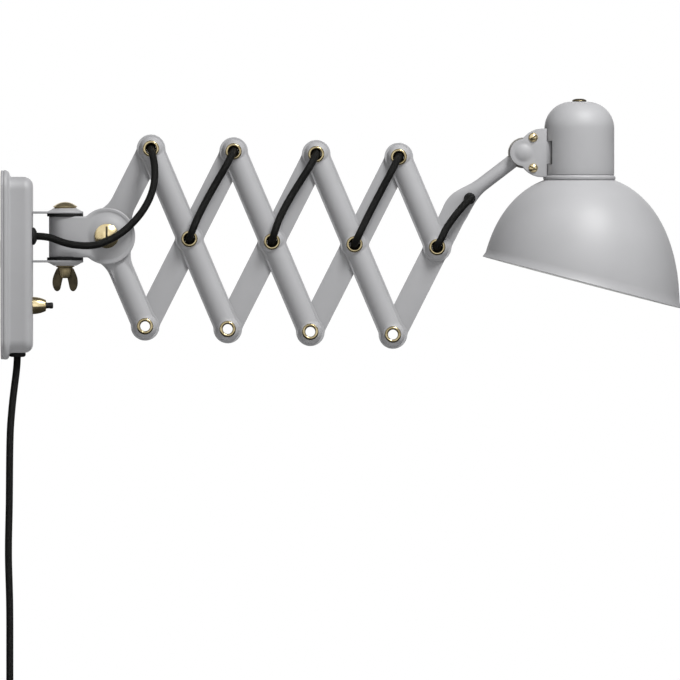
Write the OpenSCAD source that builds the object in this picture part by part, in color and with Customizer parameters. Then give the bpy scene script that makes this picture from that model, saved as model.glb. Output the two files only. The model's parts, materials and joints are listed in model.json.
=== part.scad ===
// Scissor wall lamp: a wall box, a swivel bracket, a lazy-tongs arm and a tilting shade.
// Millimetres. X leaves the wall, Y runs along it, Z is up. The origin is on the wall plane,
// at the middle of the box. Every scissor arm is placed from the same two angles.

/* [Scissor] */
// Distance between neighbouring pivots on one arm
link_len = 104.8; // [90:0.1:130]
// Half the opening angle of the scissor, as it stands
open_angle = 65.05; // [62:0.05:77]
// Slope of the scissor's centre line
tilt_angle = -1.9; // [-8:0.1:8]
// Width of an arm
arm_w = 27; // [22:0.5:30]
// Height of an arm's boss over its flat face
arm_t = 8; // [7:0.1:10]
// Height of an arm's crown over its flat face
crown_t = 7.4; // [6:0.1:9]
// Height of an arm's side wall
arm_edge = 1.2; // [0.8:0.1:2]
// Radius of an arm's bosses
boss_r = 15.3; // [14.5:0.1:17]
// Radius of the fillet between a bar and its boss
boss_fillet = 12; // [8:1:20]
// Gap between the front and the rear layer of arms
layer_gap = 1.2; // [0.8:0.1:2.5]

/* [Eyelets] */
// Bore of an eyelet
eyelet_bore_r = 5.2; // [4.5:0.1:5.6]
// Wall of an eyelet's barrel
eyelet_wall = 1.2; // [0.8:0.1:1.6]
// Radius of an eyelet's rolled edge
eyelet_roll_r = 1.8; // [1:0.1:2]
// Outer radius of the spacer ring between the layers
spacer_r = 11.5; // [9:0.5:13]
// Running clearance of a pivot, on the radius
pivot_clear = 0.06; // [0.02:0.01:0.1]

/* [Wall box] */
// Width of the cover
cover_w = 96; // [90:1:120]
// Height of the cover
cover_h = 188; // [160:1:220]
// Depth of the cover from the wall
cover_d = 33.3; // [32:0.1:48]
// Sheet of the cover
cover_wall = 1.2; // [0.8:0.1:2]
// Radius of the cover's front edges
cover_edge_r = 9; // [5:0.5:10]
// Radius of the cover's corners, seen from the front
cover_corner_r = 14; // [11:0.5:20]
// How far the foot of the cover stands out round it
foot_out = 7; // [3:0.5:8]
// Depth of the cover's foot
foot_d = 6.2; // [5:0.1:12]
// Radius of the foot's front edge
foot_edge_r = 2.5; // [1.5:0.5:4]
// Thickness of the back plate
plate_t = 2; // [1.5:0.1:3]
// Distance between the two wall screws
wall_screw_span = 120; // [100:1:140]
// Radius of a wall screw's hole
wall_screw_r = 2.5; // [2:0.1:3]

/* [Bracket] */
// Distance of the swivel axis from the wall
swivel_x = 68.2; // [64:0.1:75]
// Height of the barrel's middle above the origin
swivel_z = 30; // [20:0.5:40]
// Radius of a bracket ear's round end
ear_r = 19.5; // [18:0.1:21]
// Sheet of the bracket
ear_t = 2.3; // [1.8:0.1:3]
// Base radius of an ear's cone
cone_r1 = 18.4; // [17:0.1:19]
// Top radius of an ear's cone
cone_r2 = 11.2; // [10:0.1:13]
// Height of an ear's cone
cone_h = 3.6; // [2:0.1:5]
// Thickness of a swivel washer
washer_t = 2.6; // [1.5:0.1:4]
// Radius of the swivel bolt
bolt_r = 4; // [3:0.1:5]
// Radius of the swivel bolt's domed head
bolt_head_r = 13; // [10:0.1:14]
// Height of the swivel bolt's domed head
bolt_head_h = 6.4; // [4:0.1:8]

/* [Knuckle] */
// Radius of the barrel
barrel_r = 17.3; // [15:0.1:18]
// Height of the barrel
barrel_h = 44.8; // [40:0.1:50]
// Distance from the swivel axis to the scissor's hub axis
hub_reach = 44.6; // [42:0.1:50]
// Height of the hub axis above the barrel's middle
hub_rise = 0.8; // [-1:0.1:2]
// Radius of a base arm's hub
hub_r = 29; // [27:0.1:29.5]
// Fillet where a base arm leaves its hub
hub_fillet = 30; // [20:1:40]
// Radius of a knuckle cheek
cheek_r = 30.3; // [29.5:0.1:31]
// Thickness of a knuckle cheek
cheek_t = 4; // [3:0.1:6]
// Radius of the raised disc on a cheek
disc_r = 25; // [20:0.1:27]
// Height of the raised disc on a cheek
disc_h = 2.5; // [1:0.1:4]
// Radius of the hub screw's shank
hub_screw_r = 6; // [5:0.1:7]
// Radius of the hub screw's domed head
hub_head_r = 13; // [11:0.1:14]
// Height of the hub screw's domed head
hub_head_h = 4.5; // [3:0.1:6]

/* [Lamp arm] */
// Length of the flat bar past the last pivot, up to the bend
bar_past_len = 55.5; // [52:0.5:70]
// Length of the round tube from the bend to the middle of the ball
tube_len = 84.6; // [75:0.1:100]
// Slope of the round tube
tube_angle = 37.4; // [30:0.1:50]
// Radius of the round tube
tube_r = 7.5; // [6.5:0.1:8.5]
// Radius of the ball
ball_r = 16.5; // [15.5:0.1:18]

/* [Shade] */
// Distance from the ball to the shade's axis
shade_reach = 59.9; // [57:0.1:62]
// Radius of the shade's widest turn
shade_r = 107.5; // [95:0.5:120]
// Height of the shade's bowl as far as its widest turn
shade_h = 141.5; // [125:0.5:160]
// Sheet of the shade
shade_wall = 1.2; // [0.8:0.1:2]
// Slope of the shade's mouth
mouth_angle = 14.8; // [8:0.1:20]
// How far the rolled lip stands out
lip_out = 2.2; // [1:0.1:3]
// Height of the rolled lip
lip_h = 2.4; // [1.5:0.1:4]
// Radius of the housing on top of the shade
housing_r = 37.4; // [36:0.1:39]
// Height of the housing
housing_h = 84.2; // [78:0.1:95]
// Corner radius of the housing's dome
dome_r = 28.9; // [20:0.1:32]
// Sheet of the housing
housing_wall = 1.5; // [1:0.1:2]
// Radius of the bead round the housing's foot
bead_r = 2.6; // [2:0.1:3]

/* [Lampholder] */
// Radius of the lampholder's screw shell, inside
socket_r = 13.3; // [13.2:0.05:13.6]
// Outer radius of the lampholder
socket_outer_r = 19.5; // [17:0.1:20]
// Height of the lampholder
socket_h = 48; // [40:0.5:50]
// Depth of the lampholder's screw shell
socket_depth = 26; // [22:0.5:30]

/* [Cord] */
// Radius of the textile cord
cord_r = 3.9; // [3:0.1:4]
// Height of the middle of the stored coil
coil_z = -506; // [-560:1:-500]
// Outermost radius of the stored coil, at the middle of the cord
coil_r = 51.5; // [48:0.5:60]
// Turns of the stored coil, over its two layers
coil_turns = 6; // [4:2:8]

/* [Hidden] */
$fn = 64;

// Finishes
paint = [0.66, 0.66, 0.68];
brass = [0.78, 0.63, 0.33];
black = [0.07, 0.07, 0.07];
white = [0.9, 0.9, 0.88];

full_turn = 360;

// Shared clearances
overrun = 1;
seat_gap = 0.05;
fit_gap = 0.3;

// Places of the pivots, from the two angles, in the plane of the arms
function polar(a, l) = [l * cos(a), l * sin(a)];
hub = [swivel_x + hub_reach, swivel_z + hub_rise];
pitch = 2 * link_len * cos(open_angle);
rise_angle = tilt_angle + open_angle;
fall_angle = tilt_angle - open_angle;
function centre(i) = hub + polar(tilt_angle, pitch * i);
function top(i) = centre(i) + polar(rise_angle, link_len);
function low(i) = centre(i) + polar(fall_angle, link_len);
bend = centre(4) + polar(rise_angle, bar_past_len);
ball = bend + polar(tube_angle, tube_len);

// Depths of the layers
face_y = layer_gap / 2;
boss_y = face_y + arm_t;
head_y = face_y + arm_t / 2;
cheek_y = boss_y + fit_gap;
cheek_out_y = cheek_y + cheek_t;
disc_y = cheek_out_y + disc_h;
eyelet_r = eyelet_bore_r + eyelet_wall;
eyelet_top_y = boss_y + eyelet_roll_r;

// A front-layer piece stands towards the viewer, a rear one away from them
module front_layer() translate([0, -face_y, 0]) rotate([90, 0, 0]) children();
module rear_layer() mirror([0, 1, 0]) front_layer() children();

// A pin or bore along Y at a pivot
module across(p, r, y0, y1) {
    translate([p[0], y0, p[1]]) rotate([-90, 0, 0]) cylinder(r = r, h = y1 - y0);
}

// A solid of revolution about the Y line through a pivot, its height towards the viewer
module revolved_at(p) {
    translate([p[0], 0, p[1]]) rotate([90, 0, 0]) rotate_extrude() children();
}

// Arms: a half-round bar with round bosses at its pivots
ledge_share = 0.7;
crown_r = (pow(arm_w / 2, 2) + pow(crown_t - arm_edge, 2)) / (2 * (crown_t - arm_edge));
boss_wall_shares = 1.6;
boss_wall = arm_edge * boss_wall_shares;
seat_r = eyelet_bore_r + 2 * eyelet_roll_r + 2 * fit_gap;
dome_drop = (pow(arm_t, 2) - pow(boss_wall, 2) + pow(seat_r, 2) - pow(boss_r, 2))
    / (2 * (arm_t - boss_wall));
dome_ball_r = norm([seat_r, arm_t - dome_drop]);

// Points of an arc about c, from angle a0 to a1
function arc(c, r, a0, a1, n) = [for (i = [0:n]) c + polar(a0 + (a1 - a0) * i / n, r)];

// Upper edge of a boss [place, radius, fillet, fillet before, fillet after] on the bar
fillet_steps = 5;
boss_steps = 14;
function boss_edge(b) = let (
    x = b[0],
    r = b[1],
    f = b[2],
    w = arm_w / 2,
    reach = sqrt(pow(r + f, 2) - pow(w + f, 2)),
    turn = atan2(w + f, reach),
    before = b[3] ? arc([x - reach, w + f], f, 270, full_turn - turn, fillet_steps) : [[x - r, 0]],
    after = b[4] ? arc([x + reach, w + f], f, 180 + turn, 270, fillet_steps) : [[x + r, 0]],
    round_edge = arc([x, 0], r, b[3] ? 180 - turn : 180, b[4] ? turn : 0, boss_steps)
) concat(before, [for (i = [1:boss_steps - 1]) round_edge[i]], after);

// Closed outline of an arm from its bosses' upper edges; tail is where a bar without a last boss ends
module arm_outline(bosses, tail) {
    upper = [for (b = bosses) each boss_edge(b)];
    ends = tail > 0 ? [[tail, arm_w / 2], [tail, -arm_w / 2]] : [];
    lower = [for (i = [len(upper) - 1:-1:0]) if (upper[i][1] > 0) [upper[i][0], -upper[i][1]]];
    polygon(concat(upper, ends, lower));
}

// The bar runs from its first boss to the place called end
module arm_body(bosses, end, tail) {
    intersection() {
        linear_extrude(arm_t) arm_outline(bosses, tail);
        union() {
            translate([-2 * hub_r, -2 * hub_r, -overrun]) {
                cube([end + 4 * hub_r, 4 * hub_r, arm_edge * ledge_share + overrun]);
            }
            translate([0, 0, crown_t - crown_r]) rotate([0, 90, 0]) {
                cylinder(r = crown_r, h = end, $fn = 96);
            }
            for (b = bosses) if (b[1] == boss_r) translate([b[0], 0, dome_drop]) sphere(r = dome_ball_r);
            children();
        }
    }
}

// Bores through an arm's bosses
module arm_bores(places, r) {
    for (x = places) translate([x, 0, -overrun]) cylinder(r = r, h = arm_t + 2 * overrun);
}

first_boss = [0, boss_r, boss_fillet, false, true];
mid_boss = [link_len, boss_r, boss_fillet, true, true];
function end_boss(x) = [x, boss_r, boss_fillet, true, false];

module full_arm(bore_r) {
    difference() {
        arm_body([first_boss, mid_boss, end_boss(2 * link_len)], 2 * link_len, 0);
        arm_bores([0, link_len, 2 * link_len], bore_r);
    }
}

module end_arm(bore_r) {
    difference() {
        arm_body([first_boss, end_boss(link_len)], link_len, 0);
        arm_bores([0, link_len], bore_r);
    }
}

// A base arm grows out of a round hub, whose cone flares down into the bar
flare_share = 0.86;
flare_foot_share = 2.3;
module base_arm(bore_r) {
    difference() {
        arm_body([[0, hub_r, hub_fillet, false, true], end_boss(link_len)], link_len, 0) {
            cylinder(r1 = hub_r * flare_foot_share, r2 = hub_r * flare_share, h = crown_t - pivot_clear);
        }
        arm_bores([link_len], bore_r);
        arm_bores([0], hub_screw_r + pivot_clear);
    }
}

module place_arm(p, angle) translate([p[0], p[1], 0]) rotate(angle) children();
module front_arm(i) front_layer() place_arm(top(i - 1), fall_angle) full_arm(eyelet_r);
module back_arm(i) {
    rear_layer() place_arm(low(i - 1), rise_angle) full_arm(eyelet_r + pivot_clear);
}

module upper_base_arm() {
    color(paint) rear_layer() place_arm(hub, rise_angle) base_arm(eyelet_r + pivot_clear);
}
module lower_base_arm() {
    color(paint) front_layer() place_arm(hub, fall_angle) base_arm(eyelet_r);
}
module front_arm_1() color(paint) front_arm(1);
module front_arm_2() color(paint) front_arm(2);
module front_arm_3() color(paint) front_arm(3);
module front_end_arm() {
    color(paint) front_layer() place_arm(top(3), fall_angle) end_arm(eyelet_r);
}
module back_arm_1() color(paint) back_arm(1);
module back_arm_2() color(paint) back_arm(2);
module back_arm_3() color(paint) back_arm(3);

// Lamp arm: a flat bar on the last two pivots, which is drawn round and bent to the ball
neck_back = 24;
neck_on = 30;
neck_rings = 12;
neck_sides = 32;
neck_inset_share = 0.97;
neck_r = tube_r - 2 * seat_gap;
neck_probe = 0.01;
link_to_neck = bar_past_len - neck_back + overrun;
tube_wall = 1.5;
stud_r = tube_r - 2 * tube_wall;
stud_len = 18;
bushing_at_share = 0.63;
bushing_side = 2.5;
bushing_bore_r = cord_r + fit_gap;
bushing_r = 6.2;
bushing_h = 4;

// Section of the bar and of the tube at one angle round them: [across, height]
function bar_section(a) = let (x = arm_w / 2 * cos(a))
    [x, sin(a) < 0 ? 0 : sqrt(pow(crown_r, 2) - x * x) + crown_t - crown_r];
function tube_section(a) = [neck_r * cos(a), arm_t / 2 + neck_r * sin(a)];
function ease(t) = t * t * (3 - 2 * t);
function neck_inset(p) = [p[0] * neck_inset_share, arm_t / 2 + (p[1] - arm_t / 2) * neck_inset_share];
function neck_section(a, t) = neck_inset(bar_section(a)) * (1 - ease(t)) + tube_section(a) * ease(t);
// The neck's middle line turns from the bar's direction to the tube's, in the plane of the arms
function neck_point(t) = let (
    p0 = bend - polar(rise_angle, neck_back),
    p2 = bend + polar(tube_angle, neck_on)
) p0 * pow(1 - t, 2) + bend * 2 * t * (1 - t) + p2 * t * t;
function neck_turn(t) = let (d = neck_point(t + neck_probe) - neck_point(t - neck_probe)) atan2(d[1], d[0]);
function neck_vertex(a, t) = let (
    s = neck_section(a, t),
    d = neck_turn(t),
    p = neck_point(t)
) [p[0] - s[0] * sin(d), face_y + s[1], p[1] + s[0] * cos(d)];

// Skins rings of points into one closed solid
module skin(rings) {
    sides = len(rings[0]);
    last = len(rings) - 1;
    points = [for (ring = rings) for (p = ring) p];
    walls = [for (i = [0:last - 1]) for (k = [0:sides - 1]) let (
        a = i * sides + k,
        b = i * sides + (k + 1) % sides
    ) each [[a, b + sides, b], [a, a + sides, b + sides]]];
    first_cap = [for (k = [1:sides - 2]) [0, k, k + 1]];
    last_cap = [for (k = [1:sides - 2]) [last * sides, last * sides + k + 1, last * sides + k]];
    polyhedron(points, concat(walls, first_cap, last_cap));
}

module neck() {
    skin([for (i = [0:neck_rings]) [for (k = [0:neck_sides - 1])
        neck_vertex(-full_turn * k / neck_sides, i / neck_rings)]]);
}

// Places a drawing at the bend, its x along the tube and its z towards the viewer
module along_tube(s) {
    p = bend + polar(tube_angle, s);
    translate([p[0], head_y, p[1]]) rotate([0, -tube_angle, 0]) children();
}

// The bushing's place on the neck, its axis towards the viewer
bushing_p = neck_point(bushing_at_share) + polar(neck_turn(bushing_at_share) - 90, bushing_side);
bushing_y = face_y + neck_section(270, bushing_at_share)[1];
module at_bushing(y) translate([bushing_p[0], y, bushing_p[1]]) rotate([90, 0, 0]) children();

module tube_bar() {
    along_tube(neck_on - overrun) rotate([0, 90, 0]) cylinder(r = tube_r, h = tube_len - neck_on + overrun);
}

module lamp_arm() {
    color(paint) difference() {
        union() {
            rear_layer() place_arm(low(3), rise_angle) difference() {
                arm_body([first_boss, mid_boss], link_len + link_to_neck, link_len + link_to_neck);
                arm_bores([0, link_len], eyelet_r + pivot_clear);
            }
            neck();
            tube_bar();
        }
        along_tube(tube_len) sphere(r = ball_r + seat_gap);
        along_tube(tube_len - ball_r - stud_len) rotate([0, 90, 0]) {
            cylinder(r = stud_r + pivot_clear, h = stud_len + ball_r);
        }
        at_bushing(head_y) cylinder(r = bushing_bore_r + seat_gap + overrun, h = 2 * tube_r);
        at_bushing(bushing_y) cylinder(r = bushing_r + seat_gap, h = 2 * tube_r);
    }
}

// Eyelets: a barrel through both layers with both edges rolled, and a spacer ring
module eyelet_profile() {
    translate([eyelet_bore_r, -boss_y]) square([eyelet_wall, 2 * boss_y]);
    for (side = [-1, 1]) scale([1, side]) intersection() {
        translate([eyelet_bore_r + eyelet_roll_r, boss_y + seat_gap]) circle(r = eyelet_roll_r);
        translate([eyelet_bore_r, boss_y + seat_gap / 2]) {
            square([2 * eyelet_roll_r, eyelet_roll_r + seat_gap]);
        }
    }
    for (side = [-1, 1]) translate([eyelet_bore_r, side * boss_y - overrun / 2]) {
        square([eyelet_wall - seat_gap, overrun]);
    }
}

module eyelet_at(p) {
    revolved_at(p) eyelet_profile();
    revolved_at(p) translate([eyelet_r + fit_gap, seat_gap - face_y]) {
        square([spacer_r - eyelet_r - fit_gap, layer_gap - 2 * seat_gap]);
    }
}

module eyelets(places) color(brass) for (p = places) eyelet_at(p);
module eyelet_base() eyelets([low(0)]);
module eyelets_1() eyelets([top(0), centre(1), low(1)]);
module eyelets_2() eyelets([top(1), centre(2), low(2)]);
module eyelets_3() eyelets([top(2), centre(3), low(3)]);
module eyelets_end() eyelets([top(3), centre(4)]);

// A slotted dome: the head of a screw, its base at z = 0
slot_share = 0.16;
slot_depth_share = 0.4;
module slotted_dome(r, h, slotted) {
    ball = (r * r + h * h) / (2 * h);
    difference() {
        intersection() {
            translate([0, 0, h - ball]) sphere(r = ball, $fn = 96);
            cylinder(r = r + overrun, h = h + overrun);
        }
        if (slotted) translate([-r * slot_share / 2, -r, h * (1 - slot_depth_share)]) {
            cube([r * slot_share, 2 * r, h]);
        }
    }
}

// Wall box
flange_h = cover_h + 2 * foot_out;
flange_w = cover_w + 2 * foot_out;
plate_gap = 0.5;
lug_w = 14;
lug_d = 20;
lug_y = 30;
cover_screw_x = 13;
cover_screw_r = 1.7;
cover_screw_head_r = 3.2;
cover_screw_len = 7;

module plan(w, h, r) {
    square([w - 2 * r, h], center = true);
    square([w, h - 2 * r], center = true);
    for (x = [-1, 1], y = [-1, 1]) translate([x * (w / 2 - r), y * (h / 2 - r)]) circle(r = r);
}

// A box as three crossing outlines: front edges rounded by e, corners seen from the front by r
module soft_box(w, h, d, r, e) {
    intersection() {
        linear_extrude(d) plan(w, h, r);
        translate([0, h / 2 + overrun, 0]) rotate([90, 0, 0]) {
            linear_extrude(h + 2 * overrun) plan(w, 2 * d, e);
        }
        translate([-w / 2 - overrun, 0, 0]) rotate([0, 90, 0]) {
            linear_extrude(w + 2 * overrun) plan(2 * d, h, e);
        }
    }
}

// Stands a drawing of the wall's plane on the wall: x becomes Y, y becomes Z, z becomes X
module on_wall(x) translate([x, 0, 0]) rotate([90, 0, 90]) children();

module wall_cover() {
    inner_w = cover_w - 2 * cover_wall;
    inner_h = cover_h - 2 * cover_wall;
    color(paint) difference() {
        union() {
            on_wall(0) soft_box(cover_w, cover_h, cover_d, cover_corner_r, cover_edge_r);
            on_wall(0) soft_box(flange_w, flange_h, foot_d, cover_corner_r + foot_out, foot_edge_r);
        }
        on_wall(-overrun) soft_box(inner_w, inner_h, cover_d - cover_wall + overrun,
            cover_corner_r - cover_wall, cover_edge_r - cover_wall);
        on_wall(-overrun) linear_extrude(foot_d - cover_wall + overrun) {
            plan(flange_w - 2 * cover_wall, flange_h - 2 * cover_wall,
                cover_corner_r + foot_out - cover_wall);
        }
        translate([cover_d, lead_y, lead_z]) rotate([0, 90, 0]) {
            cylinder(r = grommet_neck_r + seat_gap, h = 4 * cover_wall, center = true);
        }
        translate([mains_x, 0, -cover_h / 2]) {
            cylinder(r = mains_neck_r + seat_gap, h = 4 * cover_wall, center = true);
        }
        translate([cover_d, 0, switch_z]) rotate([0, 90, 0]) {
            cylinder(r = collar_thread_r + seat_gap, h = 4 * cover_wall, center = true);
        }
        for (y = [-1, 1]) translate([cover_screw_x, y * lug_y, -cover_h / 2]) {
            cylinder(r = cover_screw_head_r + seat_gap, h = 4 * cover_wall, center = true);
        }
    }
}

module back_plate() {
    lug_z = cover_wall + seat_gap - cover_h / 2;
    color(paint) difference() {
        union() {
            on_wall(0) linear_extrude(plate_t) {
                plan(cover_w - plate_gap, cover_h - plate_gap, cover_corner_r);
            }
            for (y = [-1, 1]) translate([0, y * lug_y - lug_w / 2, lug_z]) cube([lug_d, lug_w, plate_t]);
        }
        for (z = [-1, 1]) translate([-overrun, 0, z * wall_screw_span / 2]) rotate([0, 90, 0]) {
            cylinder(r = wall_screw_r, h = plate_t + 2 * overrun);
        }
        for (y = [-1, 1]) translate([cover_screw_x, y * lug_y, lug_z - overrun]) {
            cylinder(r = cover_screw_r + seat_gap, h = plate_t + 2 * overrun);
        }
    }
}

module cover_screws() {
    color(brass) for (y = [-1, 1]) translate([cover_screw_x, y * lug_y, -cover_h / 2]) {
        cylinder(r = cover_screw_head_r, h = cover_wall);
        cylinder(r = cover_screw_r, h = cover_screw_len);
    }
}

// Terminal block with three screw poles, and the clamp that holds the mains lead
block_w = 34;
block_h = 17;
block_d = 14;
block_z = 62;
block_y = -26;
pole_r = 2;
clamp_bar_w = 26;
clamp_bar_h = 8;
clamp_bar_d = 6;
clamp_z = -76;
module terminal_block() {
    color(white) translate([plate_t, block_y, block_z - block_h / 2]) difference() {
        translate([0, -block_w / 2, 0]) cube([block_d, block_w, block_h]);
        for (i = [-1:1]) translate([block_d / 2, i * block_w / 3, -overrun]) {
            cylinder(r = pole_r, h = block_h + 2 * overrun);
        }
        for (i = [-1:1]) translate([block_d / 2, i * block_w / 3, block_h / 2]) rotate([0, 90, 0]) {
            cylinder(r = pole_r, h = block_d);
        }
    }
    color(white) translate([plate_t, -clamp_bar_w / 2, clamp_z - clamp_bar_h / 2]) {
        cube([clamp_bar_d, clamp_bar_w, clamp_bar_h]);
    }
}

// Switch: a body in the box, a bullet-shaped collar and a push button
switch_z = -43.4;
switch_w = 20;
switch_h = 26;
switch_d = 20;
collar_thread_r = 5;
collar_r1 = 9.3;
collar_r2 = 5.8;
collar_h = 14.6;
button_r = 3.4;
button_len = 19;
button_out = 7.6;
button_travel = 3;
module switch_body() {
    color(black) difference() {
        translate([cover_d - cover_wall - switch_d, -switch_w / 2, switch_z - switch_h / 2]) {
            cube([switch_d - seat_gap, switch_w, switch_h]);
        }
        translate([cover_d, 0, switch_z]) rotate([0, -90, 0]) {
            cylinder(r = button_r + 2 * fit_gap, h = button_len);
        }
    }
}
collar_taper = collar_r1 - collar_r2;
collar_ogive_r = (pow(collar_h, 2) + pow(collar_taper, 2)) / (2 * collar_taper);
module switch_collar() {
    color(brass) translate([cover_d, 0, switch_z]) rotate([0, 90, 0]) difference() {
        union() {
            rotate_extrude() polygon(concat(
                [[0, collar_h], [0, 0]],
                arc(
                    [collar_r1 - collar_ogive_r, 0], collar_ogive_r,
                    0, asin(collar_h / collar_ogive_r), boss_steps
                )
            ));
            translate([0, 0, -cover_wall]) cylinder(r = collar_thread_r, h = cover_wall + overrun);
        }
        translate([0, 0, -2 * cover_wall]) {
            cylinder(r = button_r + pivot_clear, h = collar_h + 4 * cover_wall);
        }
    }
}
module switch_button() {
    color(black) translate([cover_d + collar_h + button_out, 0, switch_z]) rotate([0, -90, 0]) {
        translate([0, 0, button_r / 2]) cylinder(r = button_r, h = button_len - button_r / 2);
        intersection() {
            cylinder(r = button_r, h = button_r);
            translate([0, 0, button_r]) sphere(r = button_r);
        }
    }
}

// Grommets
lead_y = -29;
lead_z = 30.6;
mains_x = 17;
grommet_r = 9.2;
grommet_neck_r = 6.5;
grommet_h = 5;
mains_neck_r = 7;
mains_grommet_r = 9;
mains_grommet_h = 4.5;
module grommet(r, neck_r, h) {
    difference() {
        union() {
            slotted_dome(r, h, false);
            translate([0, 0, -2 * cover_wall]) cylinder(r = neck_r, h = 2 * cover_wall + h / 2);
            translate([0, 0, -2 * cover_wall]) cylinder(r = r - overrun, h = cover_wall - seat_gap);
        }
        translate([0, 0, -3 * cover_wall]) cylinder(r = cord_r + seat_gap, h = h + 4 * cover_wall);
    }
}
module front_grommet() {
    color(black) translate([cover_d, lead_y, lead_z]) rotate([0, 90, 0]) {
        grommet(grommet_r, grommet_neck_r, grommet_h);
    }
}
module mains_grommet() {
    color(black) translate([mains_x, 0, -cover_h / 2]) rotate([180, 0, 0]) {
        grommet(mains_grommet_r, mains_neck_r, mains_grommet_h);
    }
}

// Bracket: a U of sheet whose two ears carry the barrel, each with a pressed cone
ear_gap = barrel_h + 2 * washer_t;
module ear() {
    linear_extrude(ear_t) difference() {
        union() {
            translate([cover_d, -ear_r]) square([swivel_x - cover_d, 2 * ear_r]);
            translate([swivel_x, 0]) circle(r = ear_r);
        }
        translate([swivel_x, 0]) circle(r = bolt_r + seat_gap);
    }
    translate([swivel_x, 0, ear_t]) difference() {
        cylinder(r1 = cone_r1, r2 = cone_r2, h = cone_h);
        translate([0, 0, -overrun]) cylinder(r = bolt_r + seat_gap, h = cone_h + 2 * overrun);
    }
}
module bracket() {
    color(paint) translate([0, 0, swivel_z]) {
        for (side = [0, 1]) mirror([0, 0, side]) translate([0, 0, ear_gap / 2]) ear();
        translate([cover_d, -ear_r, -ear_gap / 2]) cube([ear_t, 2 * ear_r, ear_gap]);
    }
}
module swivel_washers() {
    color(black) for (side = [0, 1]) translate([swivel_x, 0, swivel_z]) mirror([0, 0, side]) {
        translate([0, 0, barrel_h / 2]) difference() {
            cylinder(r = ear_r, h = washer_t);
            translate([0, 0, -overrun]) cylinder(r = bolt_r + seat_gap, h = washer_t + 2 * overrun);
        }
    }
}
bolt_tail = 6;
stack_h = ear_gap / 2 + ear_t + cone_h;
nut_h = 13;
module swivel_bolt() {
    color(brass) translate([swivel_x, 0, swivel_z]) {
        translate([0, 0, stack_h]) slotted_dome(bolt_head_r, bolt_head_h, false);
        translate([0, 0, -stack_h - nut_h - bolt_tail]) {
            cylinder(r = bolt_r, h = 2 * stack_h + nut_h + bolt_tail + overrun);
        }
    }
}

// Wing nut: a stepped hub with two wings that hang below it
nut_flange_r = 10.3;
nut_flange_h = 2.2;
nut_neck_r = 8;
wing_t = 4.5;
wing_r = 5.2;
wing_top = [4.4, 8];
wing_tip = [8.5, 22];
module wing() {
    run = wing_tip - wing_top;
    translate([wing_top[0], -wing_top[1]]) rotate(-atan2(run[1], run[0])) {
        translate([0, -wing_r]) square([norm(run), 2 * wing_r]);
        circle(r = wing_r);
        translate([norm(run), 0]) circle(r = wing_r);
    }
}
module wing_nut() {
    color(brass) translate([swivel_x, 0, swivel_z - stack_h - seat_gap]) difference() {
        union() {
            translate([0, 0, -nut_flange_h]) cylinder(r = nut_flange_r, h = nut_flange_h);
            translate([0, 0, -nut_h]) cylinder(r = nut_neck_r, h = nut_h);
            for (turn = [0, 180]) rotate(turn) {
                translate([0, wing_t / 2, 0]) rotate([90, 0, 0]) linear_extrude(wing_t) wing();
            }
        }
        translate([0, 0, -nut_h - wing_tip[1]]) {
            cylinder(r = bolt_r + pivot_clear, h = 2 * nut_h + wing_tip[1]);
        }
    }
}

// Knuckle: a barrel on the swivel bolt, and a fork that grips the two base hubs
web_inset = 2;
web_x = swivel_x + barrel_r - web_inset;
module cheek(side) {
    y0 = side < 0 ? -cheek_out_y : cheek_y;
    across(hub, cheek_r, y0, y0 + cheek_t);
    d0 = side < 0 ? -disc_y : cheek_out_y;
    across(hub, disc_r, d0, d0 + disc_h);
    translate([swivel_x, y0, swivel_z - barrel_h / 2]) cube([hub_reach - cheek_t, cheek_t, barrel_h]);
}
module knuckle() {
    color(paint) difference() {
        union() {
            translate([swivel_x, 0, swivel_z - barrel_h / 2]) cylinder(r = barrel_r, h = barrel_h);
            for (side = [-1, 1]) cheek(side);
            translate([swivel_x, -cheek_out_y, swivel_z - barrel_h / 2]) {
                cube([barrel_r, 2 * cheek_out_y, barrel_h]);
            }
        }
        translate([swivel_x, 0, swivel_z - barrel_h]) cylinder(r = bolt_r + pivot_clear, h = 2 * barrel_h);
        translate([web_x, -cheek_y, swivel_z - barrel_h]) {
            cube([hub_reach + cheek_r, 2 * cheek_y, 2 * barrel_h]);
        }
        across(hub, hub_r + 2 * fit_gap, -cheek_y, cheek_y);
        across(hub, hub_screw_r + pivot_clear, -disc_y - overrun, disc_y + overrun);
    }
}
hub_nut_r = 9.5;
hub_nut_h = 6;
module hub_screw() {
    color(brass) {
        translate([hub[0], -disc_y - seat_gap, hub[1]]) rotate([90, 0, 0]) {
            slotted_dome(hub_head_r, hub_head_h, true);
        }
        across(hub, hub_screw_r, -disc_y - seat_gap - overrun, disc_y + hub_nut_h + overrun);
        translate([hub[0], disc_y + seat_gap, hub[1]]) rotate([-90, 0, 0]) {
            cylinder(r = hub_nut_r, h = hub_nut_h, $fn = 6);
        }
    }
    color(brass) revolved_at(hub) translate([hub_screw_r + fit_gap, seat_gap - face_y]) {
        square([hub_r - hub_screw_r - 2 * fit_gap, layer_gap - 2 * seat_gap]);
    }
}

// Ball joint: the stud turns in the tube, and the clamp's two plates turn on the ball
module ball_stud() {
    color(brass) along_tube(tube_len) {
        sphere(r = ball_r, $fn = 96);
        rotate([0, -90, 0]) cylinder(r = stud_r, h = ball_r + stud_len - seat_gap);
    }
}

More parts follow.
